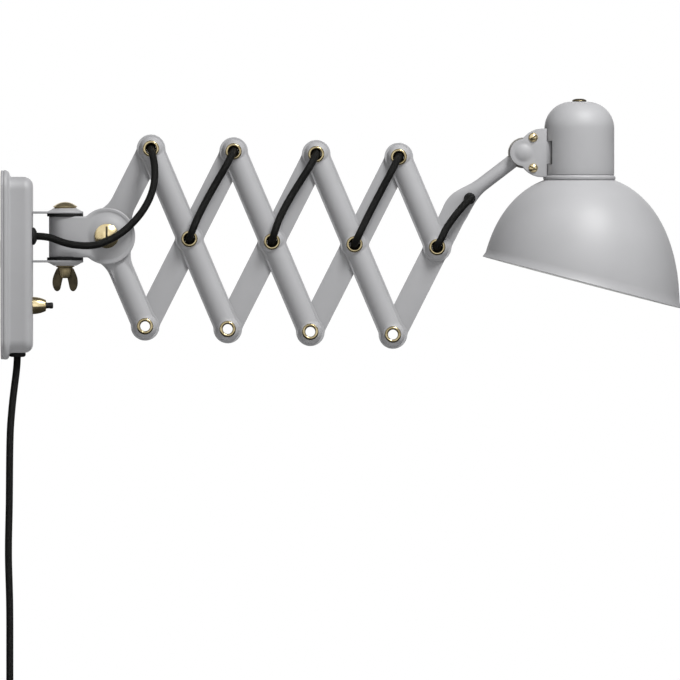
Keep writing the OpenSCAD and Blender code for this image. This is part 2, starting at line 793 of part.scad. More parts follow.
clamp_t = 2;
clamp_dimple_r = 9.2;
clamp_in = sqrt(pow(ball_r + seat_gap + clamp_t, 2) - pow(clamp_dimple_r, 2)) - clamp_t;
clamp_lobe_r = 14.5;
clamp_disc_x = 20.3;
clamp_disc_r = 25.9;
clamp_edge_x = shade_reach - sqrt(pow(housing_r, 2) - pow(clamp_in, 2)) - fit_gap;
tab_h = 24;
tab_len = 5;
clamp_screw_at = [10.4, 16.4];
clamp_screw_r = 2;
clamp_head_r = 5;
clamp_head_h = 3.2;
clamp_slot_turn = 55;
clamp_nut_r = 4.2;
clamp_nut_h = 3;

module clamp_outline() {
    intersection() {
        union() {
            circle(r = clamp_lobe_r);
            translate([clamp_disc_x, 0]) circle(r = clamp_disc_r);
            translate([clamp_disc_x, -clamp_disc_r]) square([clamp_disc_r, 2 * clamp_disc_r]);
        }
        translate([-clamp_lobe_r, -clamp_disc_r]) square([clamp_lobe_r + clamp_edge_x, 2 * clamp_disc_r]);
    }
    translate([clamp_edge_x - overrun, -tab_h / 2]) square([tab_len + overrun, tab_h]);
}

// One plate, its inner face at z = 0, with the dimple that seats the ball
module clamp_plate() {
    difference() {
        union() {
            linear_extrude(clamp_t) clamp_outline();
            intersection() {
                translate([0, 0, -clamp_in]) sphere(r = ball_r + seat_gap + clamp_t, $fn = 96);
                cylinder(r = clamp_dimple_r, h = ball_r);
            }
        }
        translate([0, 0, -clamp_in]) sphere(r = ball_r + seat_gap, $fn = 96);
        for (side = [-1, 1]) translate([clamp_screw_at[0], side * clamp_screw_at[1], -overrun]) {
            cylinder(r = clamp_screw_r + seat_gap, h = clamp_t + 2 * overrun);
        }
    }
}
module at_ball() translate([ball[0], head_y, ball[1]]) children();
module clamp_side() at_ball() translate([0, -clamp_in, 0]) rotate([90, 0, 0]) clamp_plate();
module clamp_front() color(paint) clamp_side();
module clamp_rear() color(paint) translate([0, 2 * head_y, 0]) mirror([0, 1, 0]) clamp_side();
module clamp_screws() {
    outer = clamp_in + clamp_t;
    color(brass) at_ball() for (side = [-1, 1]) {
        translate([clamp_screw_at[0], -outer, side * clamp_screw_at[1]]) {
            rotate([90, side * clamp_slot_turn, 0]) slotted_dome(clamp_head_r, clamp_head_h, true);
        }
        translate([clamp_screw_at[0], outer + clamp_nut_h, side * clamp_screw_at[1]]) rotate([90, 0, 0]) {
            cylinder(r = clamp_screw_r, h = 2 * outer + clamp_nut_h + overrun);
        }
        translate([clamp_screw_at[0], outer, side * clamp_screw_at[1]]) rotate([-90, 0, 0]) {
            cylinder(r = clamp_nut_r, h = clamp_nut_h, $fn = 6);
        }
    }
}

// Housing: a domed cap with two slots, into which the clamp's tabs reach
bead_h = 5.2;
slot_play = 0.6;
nipple_r = 5;
knob_r = 8;
knob_h = 3;
knob_neck = 6;
ball_over_shade = 29.4;
socket_low = -3.5;
shade_axis_x = ball[0] + shade_reach;
shade_top_z = ball[1] - ball_over_shade;
module at_shade() translate([shade_axis_x, head_y, shade_top_z]) children();

module dome_profile(r, h, corner) {
    square([r, h - corner]);
    square([r - corner, h]);
    intersection() {
        translate([r - corner, h - corner]) circle(r = corner);
        square([r, h]);
    }
}
module shade_housing() {
    color(paint) at_shade() difference() {
        rotate_extrude($fn = 128) difference() {
            union() {
                dome_profile(housing_r, housing_h, dome_r);
                intersection() {
                    translate([housing_r - bead_r / 2, bead_h / 2]) circle(r = bead_r);
                    square([2 * housing_r, housing_h]);
                }
            }
            translate([0, -overrun]) {
                dome_profile(housing_r - housing_wall, housing_h - housing_wall + overrun,
                    dome_r - housing_wall);
            }
            square([nipple_r + seat_gap, 2 * housing_h]);
        }
        for (side = [-1, 1]) translate([
            clamp_edge_x - shade_reach - slot_play,
            side < 0 ? -housing_r : clamp_in - slot_play,
            ball[1] - shade_top_z - tab_h / 2 - slot_play
        ]) cube([tab_len + 2 * slot_play, housing_r - clamp_in + slot_play, tab_h + 2 * slot_play]);
    }
}
module top_knob() {
    color(brass) at_shade() translate([0, 0, housing_h + seat_gap]) {
        slotted_dome(knob_r, knob_h, false);
        translate([0, 0, -knob_neck]) cylinder(r = nipple_r - housing_wall, h = knob_neck + overrun);
    }
}
module lampholder() {
    color(black) at_shade() difference() {
        union() {
            translate([0, 0, socket_low]) cylinder(r = socket_outer_r, h = socket_h);
            translate([0, 0, socket_low + socket_h]) {
                cylinder(r = nipple_r, h = housing_h - socket_h - socket_low);
            }
        }
        translate([0, 0, socket_low - overrun]) cylinder(r = socket_r, h = socket_depth + overrun);
        translate([0, 0, housing_h - knob_neck - fit_gap]) {
            cylinder(r = nipple_r - housing_wall + seat_gap, h = 2 * knob_neck);
        }
    }
}

// Shade: a superellipse bowl cut by a sloping mouth, with a rolled lip
bowl_power = 2.3;
bowl_steps = 26;
shade_mouth_r = 38.5;
shade_hole_r = socket_outer_r + slot_play;
bowl_full_h = shade_h / pow(1 - pow(shade_mouth_r / shade_r, bowl_power), 1 / bowl_power);
mouth_z = -108.9;
function bowl_share(z, grow) = pow(1 - pow(max(z, 0) / (bowl_full_h + grow), bowl_power), 1 / bowl_power);
function bowl_r(z, grow) = (shade_r + grow) * bowl_share(z, grow);
// Points of the bowl from its widest turn up, each a step of the turning angle
function bowl_points(grow) = [for (i = [0:bowl_steps]) let (
    a = 90 * i / bowl_steps,
    z = (shade_h + grow) * sin(a)
) [bowl_r(z, grow), z - shade_h]];
module bowl_solid(grow) {
    rotate_extrude($fn = 128) polygon(concat(
        [[0, grow], [0, -shade_h - shade_r]],
        [[shade_r + grow, -shade_h - shade_r]],
        bowl_points(grow)
    ));
}
module mouth_slab(z0, z1) {
    translate([0, 0, mouth_z]) rotate([0, mouth_angle, 0]) translate([-2 * shade_r, -2 * shade_r, z0]) {
        cube([4 * shade_r, 4 * shade_r, z1 - z0]);
    }
}
module shade() {
    color(paint) at_shade() difference() {
        union() {
            intersection() {
                bowl_solid(0);
                mouth_slab(0, 3 * shade_h);
            }
            intersection() {
                bowl_solid(lip_out);
                mouth_slab(0, lip_h);
            }
        }
        bowl_solid(-shade_wall);
        cylinder(r = shade_hole_r, h = 4 * shade_wall, center = true);
    }
}

// Cord: rings swept along a route; the side direction never runs along the route
function unit(v) = v / norm(v);
function along(route, i) = let (n = len(route) - 1)
    unit(route[min(i + 1, n)] - route[max(i - 1, 0)]);
function ring(route, i, r, sides, side) = let (
    t = along(route, i),
    u = unit(cross(t, side)),
    v = cross(t, u)
) [for (k = [0:sides - 1]) let (a = full_turn * k / sides) route[i] + r * (u * cos(a) + v * sin(a))];
module tube(route, r, sides, side) {
    skin([for (i = [0:len(route) - 1]) ring(route, i, r, sides, side)]);
}
// Route of the lead from the box to the first pivot
wall_route = [
    [35.4, -29, 30.6], [44, -29, 30.3], [53, -28.5, 28.9], [61, -27.5, 26], [69, -26.5, 23.3],
    [77, -26, 21.6], [84, -25.5, 20.8], [91, -25.5, 20.4], [98, -25.5, 20.8], [105, -25.5, 22.2],
    [112, -25.5, 25.2]
];
base_route = [
    [112, -25.5, 25.2], [119, -25.5, 28.2], [127, -25.5, 33], [135.5, -25.5, 39.7], [143, -25.5, 47.2],
    [149.5, -25.5, 55], [155, -25.5, 63.5], [159, -25.5, 71.5], [162, -25.3, 80], [163.8, -25, 88.5],
    [164.4, -24.5, 97], [164.2, -23.2, 104.6], [163.2, -20.6, 111.8], [161.9, -16.6, 117.9],
    [160.6, -11.5, 122.9], [160.1, -6, 124.3], [160.1, 0, 124.3]
];
lead_sides = 10;
module lead_wall() color(black) tube(wall_route, cord_r, lead_sides, [1, 0, -1]);
module lead_base() color(black) tube(base_route, cord_r, lead_sides, [1, 0, -1]);

// A short lead from one hollow pivot to the next: shares of its run, its rise and its side bulge
leg_shares = [
    [0, 0, 0], [0, 0.35, 0], [0.015, 0.66, 0.1], [0.06, 0.9, 0.3], [0.13, 1, 0.6], [0.22, 0.96, 0.9],
    [0.34, 0.84, 1], [0.5, 0.76, 0.85], [0.66, 0.84, 0.5], [0.78, 0.96, 0.2], [0.87, 1, 0],
    [0.94, 0.9, 0], [0.985, 0.66, 0], [1, 0.35, 0], [1, 0, 0]
];
// Behind the arms the lead bows out past both pivots, so that it fills their bores from in front
back_shares = [
    [0, 0, 0], [0, 0.15, 0], [-0.004, 0.3, 0], [-0.011, 0.5, 0], [-0.026, 0.72, 0], [-0.02, 0.9, 0],
    [0.03, 1, 0], [0.12, 1, 0], [0.24, 0.92, 0], [0.37, 0.82, 0], [0.5, 0.78, 0], [0.63, 0.82, 0],
    [0.76, 0.92, 0],
    [0.88, 1, 0], [0.97, 1, 0], [1.02, 0.9, 0], [1.026, 0.72, 0], [1.011, 0.5, 0], [1.004, 0.3, 0],
    [1, 0.15, 0], [1, 0, 0]
];
leg_rise = boss_y + eyelet_roll_r + 2 * cord_r;
// side is -1 in front of the arms and 1 behind them
function leg(p, q, side, bulge, shares) = let (
    run = q - p,
    across_run = [-run[1], run[0]] / norm(run)
) [for (s = shares) let (flat = p + run * s[0] + across_run * bulge * s[2])
    [flat[0], side * leg_rise * s[1], flat[1]]];
module leg_between(p, q, side, bulge, shares) {
    run = q - p;
    color(black) tube(leg(p, q, side, bulge, shares), cord_r, lead_sides, [-run[1], 0, run[0]]);
}
bulges = [2.4, 4.2, 0.8];
module leg_behind(i) leg_between(top(i - 1), centre(i), 1, 0, back_shares);
module leg_before(i) leg_between(centre(i), top(i), -1, bulges[i - 1], leg_shares);
module lead_back_1() leg_behind(1);
module lead_back_2() leg_behind(2);
module lead_back_3() leg_behind(3);
module lead_back_4() leg_behind(4);
module lead_front_1() leg_before(1);
module lead_front_2() leg_before(2);
module lead_front_3() leg_before(3);

// The last lead goes into the tube through a bushing on its front: shares of its run, rise and bulge
end_shares = [
    [0, 0, 0], [0, 0.35, 0], [0.015, 0.64, 0.1], [0.07, 0.84, 0.3], [0.2, 0.9, 0.6], [0.34, 0.84, 1],
    [0.5, 0.78, 1], [0.66, 0.76, 0.8], [0.8, 0.72, 0.5], [0.9, 0.64, 0.2], [0.97, 0.5, 0],
    [1, 0.34, 0], [1, 0.22, 0]
];
end_bulge = 3;
module lead_end() {
    run = bushing_p - centre(4);
    route = leg(centre(4), bushing_p, -1, end_bulge, end_shares);
    color(black) tube(route, cord_r, lead_sides, [-run[1], 0, run[0]]);
}
module lead_bushing() {
    color(black) at_bushing(bushing_y) difference() {
        union() {
            slotted_dome(bushing_r, bushing_h, false);
            translate([0, 0, -bushing_h]) cylinder(r = bushing_bore_r + overrun, h = bushing_h + overrun);
        }
        translate([0, 0, -2 * bushing_h]) cylinder(r = bushing_bore_r, h = 4 * bushing_h);
    }
}

// Mains lead: hangs from the box, then lies in a tied coil that ends in a plug
coil_x = 9;
coil_gap = 0.5;
coil_step = 2 * cord_r + coil_gap;
coil_sides = 6;
coil_rings = 24;
coil_tail = 48;
mains_route = [
    [17, 0, -91], [17, 0, -98.5], [16.6, 0, -107], [15.6, 0, -117], [14.2, 0, -128], [12.4, 0, -143],
    [10.9, 0, -158], [9.7, 0, -174], [9.1, 0, -192], [8.8, 0, -212], [8.6, 0, -234],
    [8.4, 0, -256], [8, 0, -276], [7.6, 0, -296], [7.6, 0, -316], [8.2, 0, -338], [8.8, 0, -360],
    [9, 0, -382], [9, 0, -404], [9, 0, -426], [9, 0, -448], [9, 0, -470], [9, 0, -492], [9, 0, -498]
];
coil_y = -coil_r;
coil_total = full_turn * coil_turns;
// Steady spiral in, then out; the layer changes in the half turn where it reverses
function coil_radius(a) = coil_r - coil_step * min(a, coil_total - a) / full_turn;
function coil_layer(a) = coil_step * ease(min(1, max(0, (a - coil_total / 2 + 90) / 180)));
function coil_point(a) = [
    coil_x + coil_layer(a),
    coil_y + coil_radius(a) * cos(a),
    coil_z - coil_radius(a) * sin(a)
];
coil_count = coil_rings * coil_turns;
coil_turn_points = [for (i = [0:coil_count]) coil_point(full_turn * i / coil_rings)];
coil_end = coil_turn_points[coil_count];
coil_route = concat(
    [[coil_x, 0, coil_z + 2 * cord_r]],
    coil_turn_points,
    [coil_end - [0, 0, 2 * cord_r], coil_end - [0, 0, coil_tail]]
);
coil_least = min([for (i = [0:coil_count]) for (j = [i + coil_rings / 2:1:coil_count])
    norm(coil_turn_points[i] - coil_turn_points[j])]) - 2 * cord_r;
echo(coil_least_gap = coil_least);
function route_length(p) = len(p) < 2 ? 0 : sum_steps(p, 0);
function sum_steps(p, i) = i >= len(p) - 1 ? 0 : norm(p[i + 1] - p[i]) + sum_steps(p, i + 1);
echo(mains_length = route_length(mains_route) + route_length(coil_route));

module mains_lead() color(black) tube(mains_route, cord_r, 8, [1, 0, 0]);
module mains_coil() color(black) tube(coil_route, cord_r, coil_sides, [1, 0, 0]);

// Tie round the coil's six strands, at the side away from the hanging lead
tie_wall = 1.2;
tie_w = 8;
module coil_tie() {
    deep = coil_step + 2 * cord_r + 2 * fit_gap;
    wide = (coil_turns / 2 - 1) * coil_step + 2 * cord_r + 2 * fit_gap;
    mid = coil_y - coil_r + coil_step * coil_turns / 4;
    color(black) translate([coil_x + coil_step / 2, mid, coil_z - tie_w / 2]) {
        linear_extrude(tie_w) difference() {
            square([deep + 2 * tie_wall, wide + 2 * tie_wall], center = true);
            square([deep, wide], center = true);
        }
    }
}

// Plug: a flat two-pin body with a sleeve for the lead
plug_w = 35;
plug_t = 14;
plug_h = 34;
plug_r = 6.5;
plug_sleeve_r = 6;
plug_sleeve_h = 10;
pin_r = 2;
pin_span = 18.6;
pin_len = 19;
plug_top = coil_end - [0, 0, coil_tail];
module plug() {
    color(black) translate(plug_top) difference() {
        union() {
            translate([0, 0, -plug_sleeve_h]) {
                cylinder(r1 = plug_sleeve_r, r2 = cord_r + overrun, h = plug_sleeve_h);
            }
            translate([0, 0, -plug_sleeve_h - plug_h]) linear_extrude(plug_h) plan(plug_t, plug_w, plug_r);
        }
        for (side = [-1, 1]) translate([0, side * pin_span / 2, -plug_sleeve_h - plug_h - overrun]) {
            cylinder(r = pin_r + seat_gap, h = plug_h / 2 + overrun);
        }
    }
}
module plug_pins() {
    color(brass) translate(plug_top - [0, 0, plug_sleeve_h + plug_h + pin_len]) for (side = [-1, 1]) {
        translate([0, side * pin_span / 2, 0]) cylinder(r = pin_r, h = pin_len + plug_h / 2 - seat_gap);
    }
}

back_plate();
wall_cover();
cover_screws();
terminal_block();
switch_body();
switch_collar();
switch_button();
front_grommet();
mains_grommet();
bracket();
swivel_washers();
swivel_bolt();
wing_nut();
knuckle();
hub_screw();
upper_base_arm();
lower_base_arm();
front_arm_1();
front_arm_2();
front_arm_3();
front_end_arm();
back_arm_1();
back_arm_2();
back_arm_3();
lamp_arm();
eyelet_base();
eyelets_1();
eyelets_2();
eyelets_3();
eyelets_end();
lead_wall();
lead_base();
lead_back_1();
lead_back_2();
lead_back_3();
lead_back_4();
lead_front_1();
lead_front_2();
lead_front_3();
lead_end();
lead_bushing();
ball_stud();
clamp_front();
clamp_rear();
clamp_screws();
shade_housing();
shade();
top_knob();
lampholder();
mains_lead();
mains_coil();
coil_tie();
plug();
plug_pins();
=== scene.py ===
"""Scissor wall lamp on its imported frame: camera, cords, visible pieces, finishes and studio light.

Sizes are millimetres in the lamp's own frame and become metres when a mesh is made. X leaves the wall,
Y runs along it and away from the camera, Z is up.
"""

import json
import logging
import math
from dataclasses import dataclass, field
from enum import Enum
from typing import Callable, Optional, Sequence

import bmesh
import bpy
import numpy as np
from mathutils import Matrix, Vector
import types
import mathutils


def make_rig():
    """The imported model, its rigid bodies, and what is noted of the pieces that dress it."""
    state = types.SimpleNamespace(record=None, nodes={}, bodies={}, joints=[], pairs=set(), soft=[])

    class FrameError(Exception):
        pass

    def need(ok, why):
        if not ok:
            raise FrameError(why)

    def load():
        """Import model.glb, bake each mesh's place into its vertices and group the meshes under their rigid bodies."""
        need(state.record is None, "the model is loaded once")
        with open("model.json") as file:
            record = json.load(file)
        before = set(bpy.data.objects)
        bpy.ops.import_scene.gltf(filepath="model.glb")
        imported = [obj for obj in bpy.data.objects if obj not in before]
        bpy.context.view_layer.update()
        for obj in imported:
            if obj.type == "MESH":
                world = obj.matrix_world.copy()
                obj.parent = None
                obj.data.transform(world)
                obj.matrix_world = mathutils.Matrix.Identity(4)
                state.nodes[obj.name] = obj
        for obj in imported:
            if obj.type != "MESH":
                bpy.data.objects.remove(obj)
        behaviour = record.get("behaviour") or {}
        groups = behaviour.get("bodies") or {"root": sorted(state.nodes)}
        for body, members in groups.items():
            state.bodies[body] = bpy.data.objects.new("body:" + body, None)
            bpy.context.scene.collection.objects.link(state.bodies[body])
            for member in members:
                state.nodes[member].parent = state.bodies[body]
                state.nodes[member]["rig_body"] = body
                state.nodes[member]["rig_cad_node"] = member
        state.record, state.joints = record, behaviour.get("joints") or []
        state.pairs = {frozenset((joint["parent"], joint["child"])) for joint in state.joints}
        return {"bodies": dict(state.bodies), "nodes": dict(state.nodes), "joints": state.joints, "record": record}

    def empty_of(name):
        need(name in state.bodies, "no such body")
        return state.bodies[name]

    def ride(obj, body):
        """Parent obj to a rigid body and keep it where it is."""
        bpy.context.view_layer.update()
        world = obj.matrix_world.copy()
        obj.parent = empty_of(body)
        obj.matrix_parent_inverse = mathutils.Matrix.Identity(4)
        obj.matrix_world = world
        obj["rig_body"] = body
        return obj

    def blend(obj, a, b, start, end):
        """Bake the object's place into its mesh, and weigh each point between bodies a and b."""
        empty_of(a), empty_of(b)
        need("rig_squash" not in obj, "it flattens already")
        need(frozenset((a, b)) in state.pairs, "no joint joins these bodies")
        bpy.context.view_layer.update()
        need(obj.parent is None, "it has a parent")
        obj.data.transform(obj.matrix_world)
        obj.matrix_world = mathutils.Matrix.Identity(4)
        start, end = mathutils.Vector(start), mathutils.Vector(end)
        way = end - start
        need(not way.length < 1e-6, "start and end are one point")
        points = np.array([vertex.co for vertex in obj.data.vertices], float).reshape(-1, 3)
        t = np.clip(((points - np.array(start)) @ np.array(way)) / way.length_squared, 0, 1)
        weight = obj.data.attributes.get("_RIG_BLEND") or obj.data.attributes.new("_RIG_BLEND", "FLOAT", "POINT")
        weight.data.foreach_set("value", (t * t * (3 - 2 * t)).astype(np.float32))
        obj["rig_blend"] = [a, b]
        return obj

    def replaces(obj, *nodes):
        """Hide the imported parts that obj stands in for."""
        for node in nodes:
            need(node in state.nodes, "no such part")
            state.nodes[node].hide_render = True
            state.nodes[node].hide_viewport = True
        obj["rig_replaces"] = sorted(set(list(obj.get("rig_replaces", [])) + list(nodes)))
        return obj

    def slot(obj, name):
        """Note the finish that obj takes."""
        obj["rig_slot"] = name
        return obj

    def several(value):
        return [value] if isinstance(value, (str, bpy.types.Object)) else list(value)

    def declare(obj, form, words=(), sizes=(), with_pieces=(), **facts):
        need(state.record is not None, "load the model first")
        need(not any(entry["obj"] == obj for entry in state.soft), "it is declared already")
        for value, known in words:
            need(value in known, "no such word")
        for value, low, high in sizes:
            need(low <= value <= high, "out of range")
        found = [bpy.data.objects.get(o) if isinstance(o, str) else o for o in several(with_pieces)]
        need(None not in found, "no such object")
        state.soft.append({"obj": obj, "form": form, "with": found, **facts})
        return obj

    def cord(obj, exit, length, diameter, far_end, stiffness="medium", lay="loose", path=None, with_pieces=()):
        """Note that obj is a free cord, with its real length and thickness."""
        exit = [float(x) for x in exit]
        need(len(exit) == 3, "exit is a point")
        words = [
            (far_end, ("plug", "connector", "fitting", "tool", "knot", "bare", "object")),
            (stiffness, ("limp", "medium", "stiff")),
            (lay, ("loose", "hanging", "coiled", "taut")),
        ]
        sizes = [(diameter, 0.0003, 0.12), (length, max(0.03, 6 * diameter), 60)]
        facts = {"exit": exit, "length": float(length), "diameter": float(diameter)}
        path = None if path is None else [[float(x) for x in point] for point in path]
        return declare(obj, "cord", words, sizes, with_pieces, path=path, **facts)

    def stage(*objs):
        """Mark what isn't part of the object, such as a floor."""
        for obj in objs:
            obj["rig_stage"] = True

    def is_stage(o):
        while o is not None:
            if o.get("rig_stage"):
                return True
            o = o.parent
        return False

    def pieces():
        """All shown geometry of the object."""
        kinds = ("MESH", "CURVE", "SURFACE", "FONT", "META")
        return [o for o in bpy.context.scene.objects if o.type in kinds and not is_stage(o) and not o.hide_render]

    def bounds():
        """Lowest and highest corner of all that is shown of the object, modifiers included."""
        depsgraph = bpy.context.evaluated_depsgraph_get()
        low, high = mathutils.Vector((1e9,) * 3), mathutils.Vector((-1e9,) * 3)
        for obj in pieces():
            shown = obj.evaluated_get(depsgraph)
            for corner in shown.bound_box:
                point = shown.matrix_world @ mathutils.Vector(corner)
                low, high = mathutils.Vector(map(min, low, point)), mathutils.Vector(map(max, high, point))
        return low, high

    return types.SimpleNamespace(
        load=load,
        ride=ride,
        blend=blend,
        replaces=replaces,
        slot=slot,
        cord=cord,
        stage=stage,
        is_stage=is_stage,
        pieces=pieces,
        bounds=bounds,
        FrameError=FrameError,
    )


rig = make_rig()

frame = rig.load()

LOG = logging.getLogger("scissor_lamp")
MM = 0.001
WELD = 2e-6
SIZE_FILE = "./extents.json"
SMOOTH_ANGLE = math.radians(38)
Point = Sequence[float]
Route = Sequence[Point]
Pair = tuple[float, float]
Outline = list[Pair]
Profile = tuple[Pair, ...]
Colour = tuple[float, float, float]
Piece = bpy.types.Object
Material = bpy.types.Material
Socket = bpy.types.NodeSocket
OUT, NEAR, FAR, UP, DOWN = (1, 0, 0), (0, -1, 0), (0, 1, 0), (0, 0, 1), (0, 0, -1)


class Layer(Enum):
    """The two layers of arms: which way their crowns face."""

    FRONT = -1
    REAR = 1


class Slot(Enum):
    """Material slots of the record."""

    PAINT = "paint"
    BRASS = "brass"
    TEXTILE = "textile_cord"
    RUBBER = "black_rubber"
    PLASTIC = "black_plastic"
    WHITE = "white_plastic"


# Sizes


@dataclass(frozen=True)
class Linkage:
    """Places of the scissor's pivots, from its two angles."""

    link: float = 104.8
    open_angle: float = 65.05
    tilt_angle: float = -1.9
    hub: Pair = (112.8, 30.8)
    bar_past: float = 55.5
    tube_len: float = 84.6
    tube_angle: float = 37.4
    layer_gap: float = 1.2
    arm_t: float = 8.0

    @property
    def rise(self) -> float:
        """Direction of the arms that lean away from the wall upwards, in degrees."""
        return self.tilt_angle + self.open_angle

    @property
    def fall(self) -> float:
        """Direction of the arms that lean away from the wall downwards, in degrees."""
        return self.tilt_angle - self.open_angle

    @property
    def face_y(self) -> float:
        """Distance of an arm's flat face from the middle plane."""
        return self.layer_gap / 2

    @property
    def boss_y(self) -> float:
        """Distance of a boss's top from the middle plane."""
        return self.face_y + self.arm_t

    @property
    def head_y(self) -> float:
        """Y of the tube, the ball and the shade's axis."""
        return self.face_y + self.arm_t / 2

    def centre(self, i: int) -> np.ndarray:
        """Place (X, Z) of centre pivot i."""
        pitch = 2 * self.link * cosd(self.open_angle)
        return np.array(self.hub) + polar(self.tilt_angle, pitch * i)

    def top(self, i: int) -> np.ndarray:
        """Place (X, Z) of upper pivot i."""
        return self.centre(i) + polar(self.rise, self.link)

    def low(self, i: int) -> np.ndarray:
        """Place (X, Z) of lower pivot i."""
        return self.centre(i) + polar(self.fall, self.link)

    @property
    def bend(self) -> np.ndarray:
        """Place (X, Z) where the lamp arm bends."""
        return self.centre(4) + polar(self.rise, self.bar_past)

    @property
    def ball(self) -> np.ndarray:
        """Place (X, Z) of the ball."""
        return self.bend + polar(self.tube_angle, self.tube_len)


def cosd(angle: float) -> float:
    """Cosine of an angle in degrees."""
    return math.cos(math.radians(angle))


def sind(angle: float) -> float:
    """Sine of an angle in degrees."""
    return math.sin(math.radians(angle))


def polar(angle: float, length: float) -> np.ndarray:
    """Flat vector of a length at an angle in degrees."""
    return np.array([length * cosd(angle), length * sind(angle)])


LINKAGE = Linkage()


# Mesh work


def arc(centre: Point, radius: float, start: float, end: float, steps: int) -> Outline:
    """Points of an arc.

    Args:
        centre: middle of the arc.
        radius: its radius.
        start: first angle, in degrees.
        end: last angle, in degrees.
        steps: number of steps.

    Returns:
        The points, both ends included.
    """
    turns = [start + (end - start) * i / steps for i in range(steps + 1)]
    return [(centre[0] + radius * cosd(a), centre[1] + radius * sind(a)) for a in turns]


def rounded(points: Route, radii: Sequence[float], steps: int = 5, closed: bool = False) -> Outline:
    """Rounds the corners of a path.

    Args:
        points: the path's corners.
        radii: a radius for each corner; 0 keeps it sharp.
        steps: steps of each round.
        closed: whether the path returns to its start.

    Returns:
        The path with its corners rounded.
    """
    out: Outline = []
    n = len(points)
    for i, (p, r) in enumerate(zip(points, radii)):
        here = np.array(p, float)
        if r <= 0 or (not closed and i in (0, n - 1)):
            out.append((here[0], here[1]))
            continue
        before = np.array(points[i - 1], float) - here
        after = np.array(points[(i + 1) % n], float) - here
        la, lb = np.linalg.norm(before), np.linalg.norm(after)
        ua, ub = before / la, after / lb
        half = math.acos(float(np.clip(ua @ ub, -1, 1))) / 2
        reach = min(r / math.tan(half), 0.49 * la, 0.49 * lb)
        radius = reach * math.tan(half)
        middle = here + (ua + ub) / np.linalg.norm(ua + ub) * radius / math.sin(half)
        a0 = math.atan2(*(here + ua * reach - middle)[::-1])
        a1 = math.atan2(*(here + ub * reach - middle)[::-1])
        turn = (a1 - a0 + math.pi) % (2 * math.pi) - math.pi
        for k in range(steps + 1):
            a = a0 + turn * k / steps
            out.append((middle[0] + radius * math.cos(a), middle[1] + radius * math.sin(a)))
    return out


def rect(x0: float, x1: float, y0: float, y1: float) -> Outline:
    """Rectangle between two places across and two places up, anticlockwise."""
    return [(x0, y0), (x1, y0), (x1, y1), (x0, y1)]


def on_axis(at: Point, direction: Point) -> Matrix:
    """Matrix that puts a drawing's origin at a place and its height along a direction."""
    turn = Vector((0, 0, 1)).rotation_difference(Vector(direction)).to_matrix().to_4x4()
    return Matrix.Translation(Vector(at)) @ turn


def in_arm_plane(place: Point, angle: float, layer: Layer) -> Matrix:
    """Matrix that lays a drawing in one layer of arms, its height towards that layer's side.

    Args:
        place: the drawing's origin, as (X, Z).
        angle: direction of its x axis, in degrees.
        layer: the layer of arms.

    Returns:
        The matrix.
    """
    a = math.radians(angle)
    along = Vector((math.cos(a), 0, math.sin(a)))
    across = Vector((-math.sin(a), 0, math.cos(a)))
    out = Vector((0, layer.value, 0))
    at = Vector((place[0], layer.value * LINKAGE.face_y, place[1]))
    return Matrix.Translation(at) @ Matrix((along, across, out)).transposed().to_4x4()


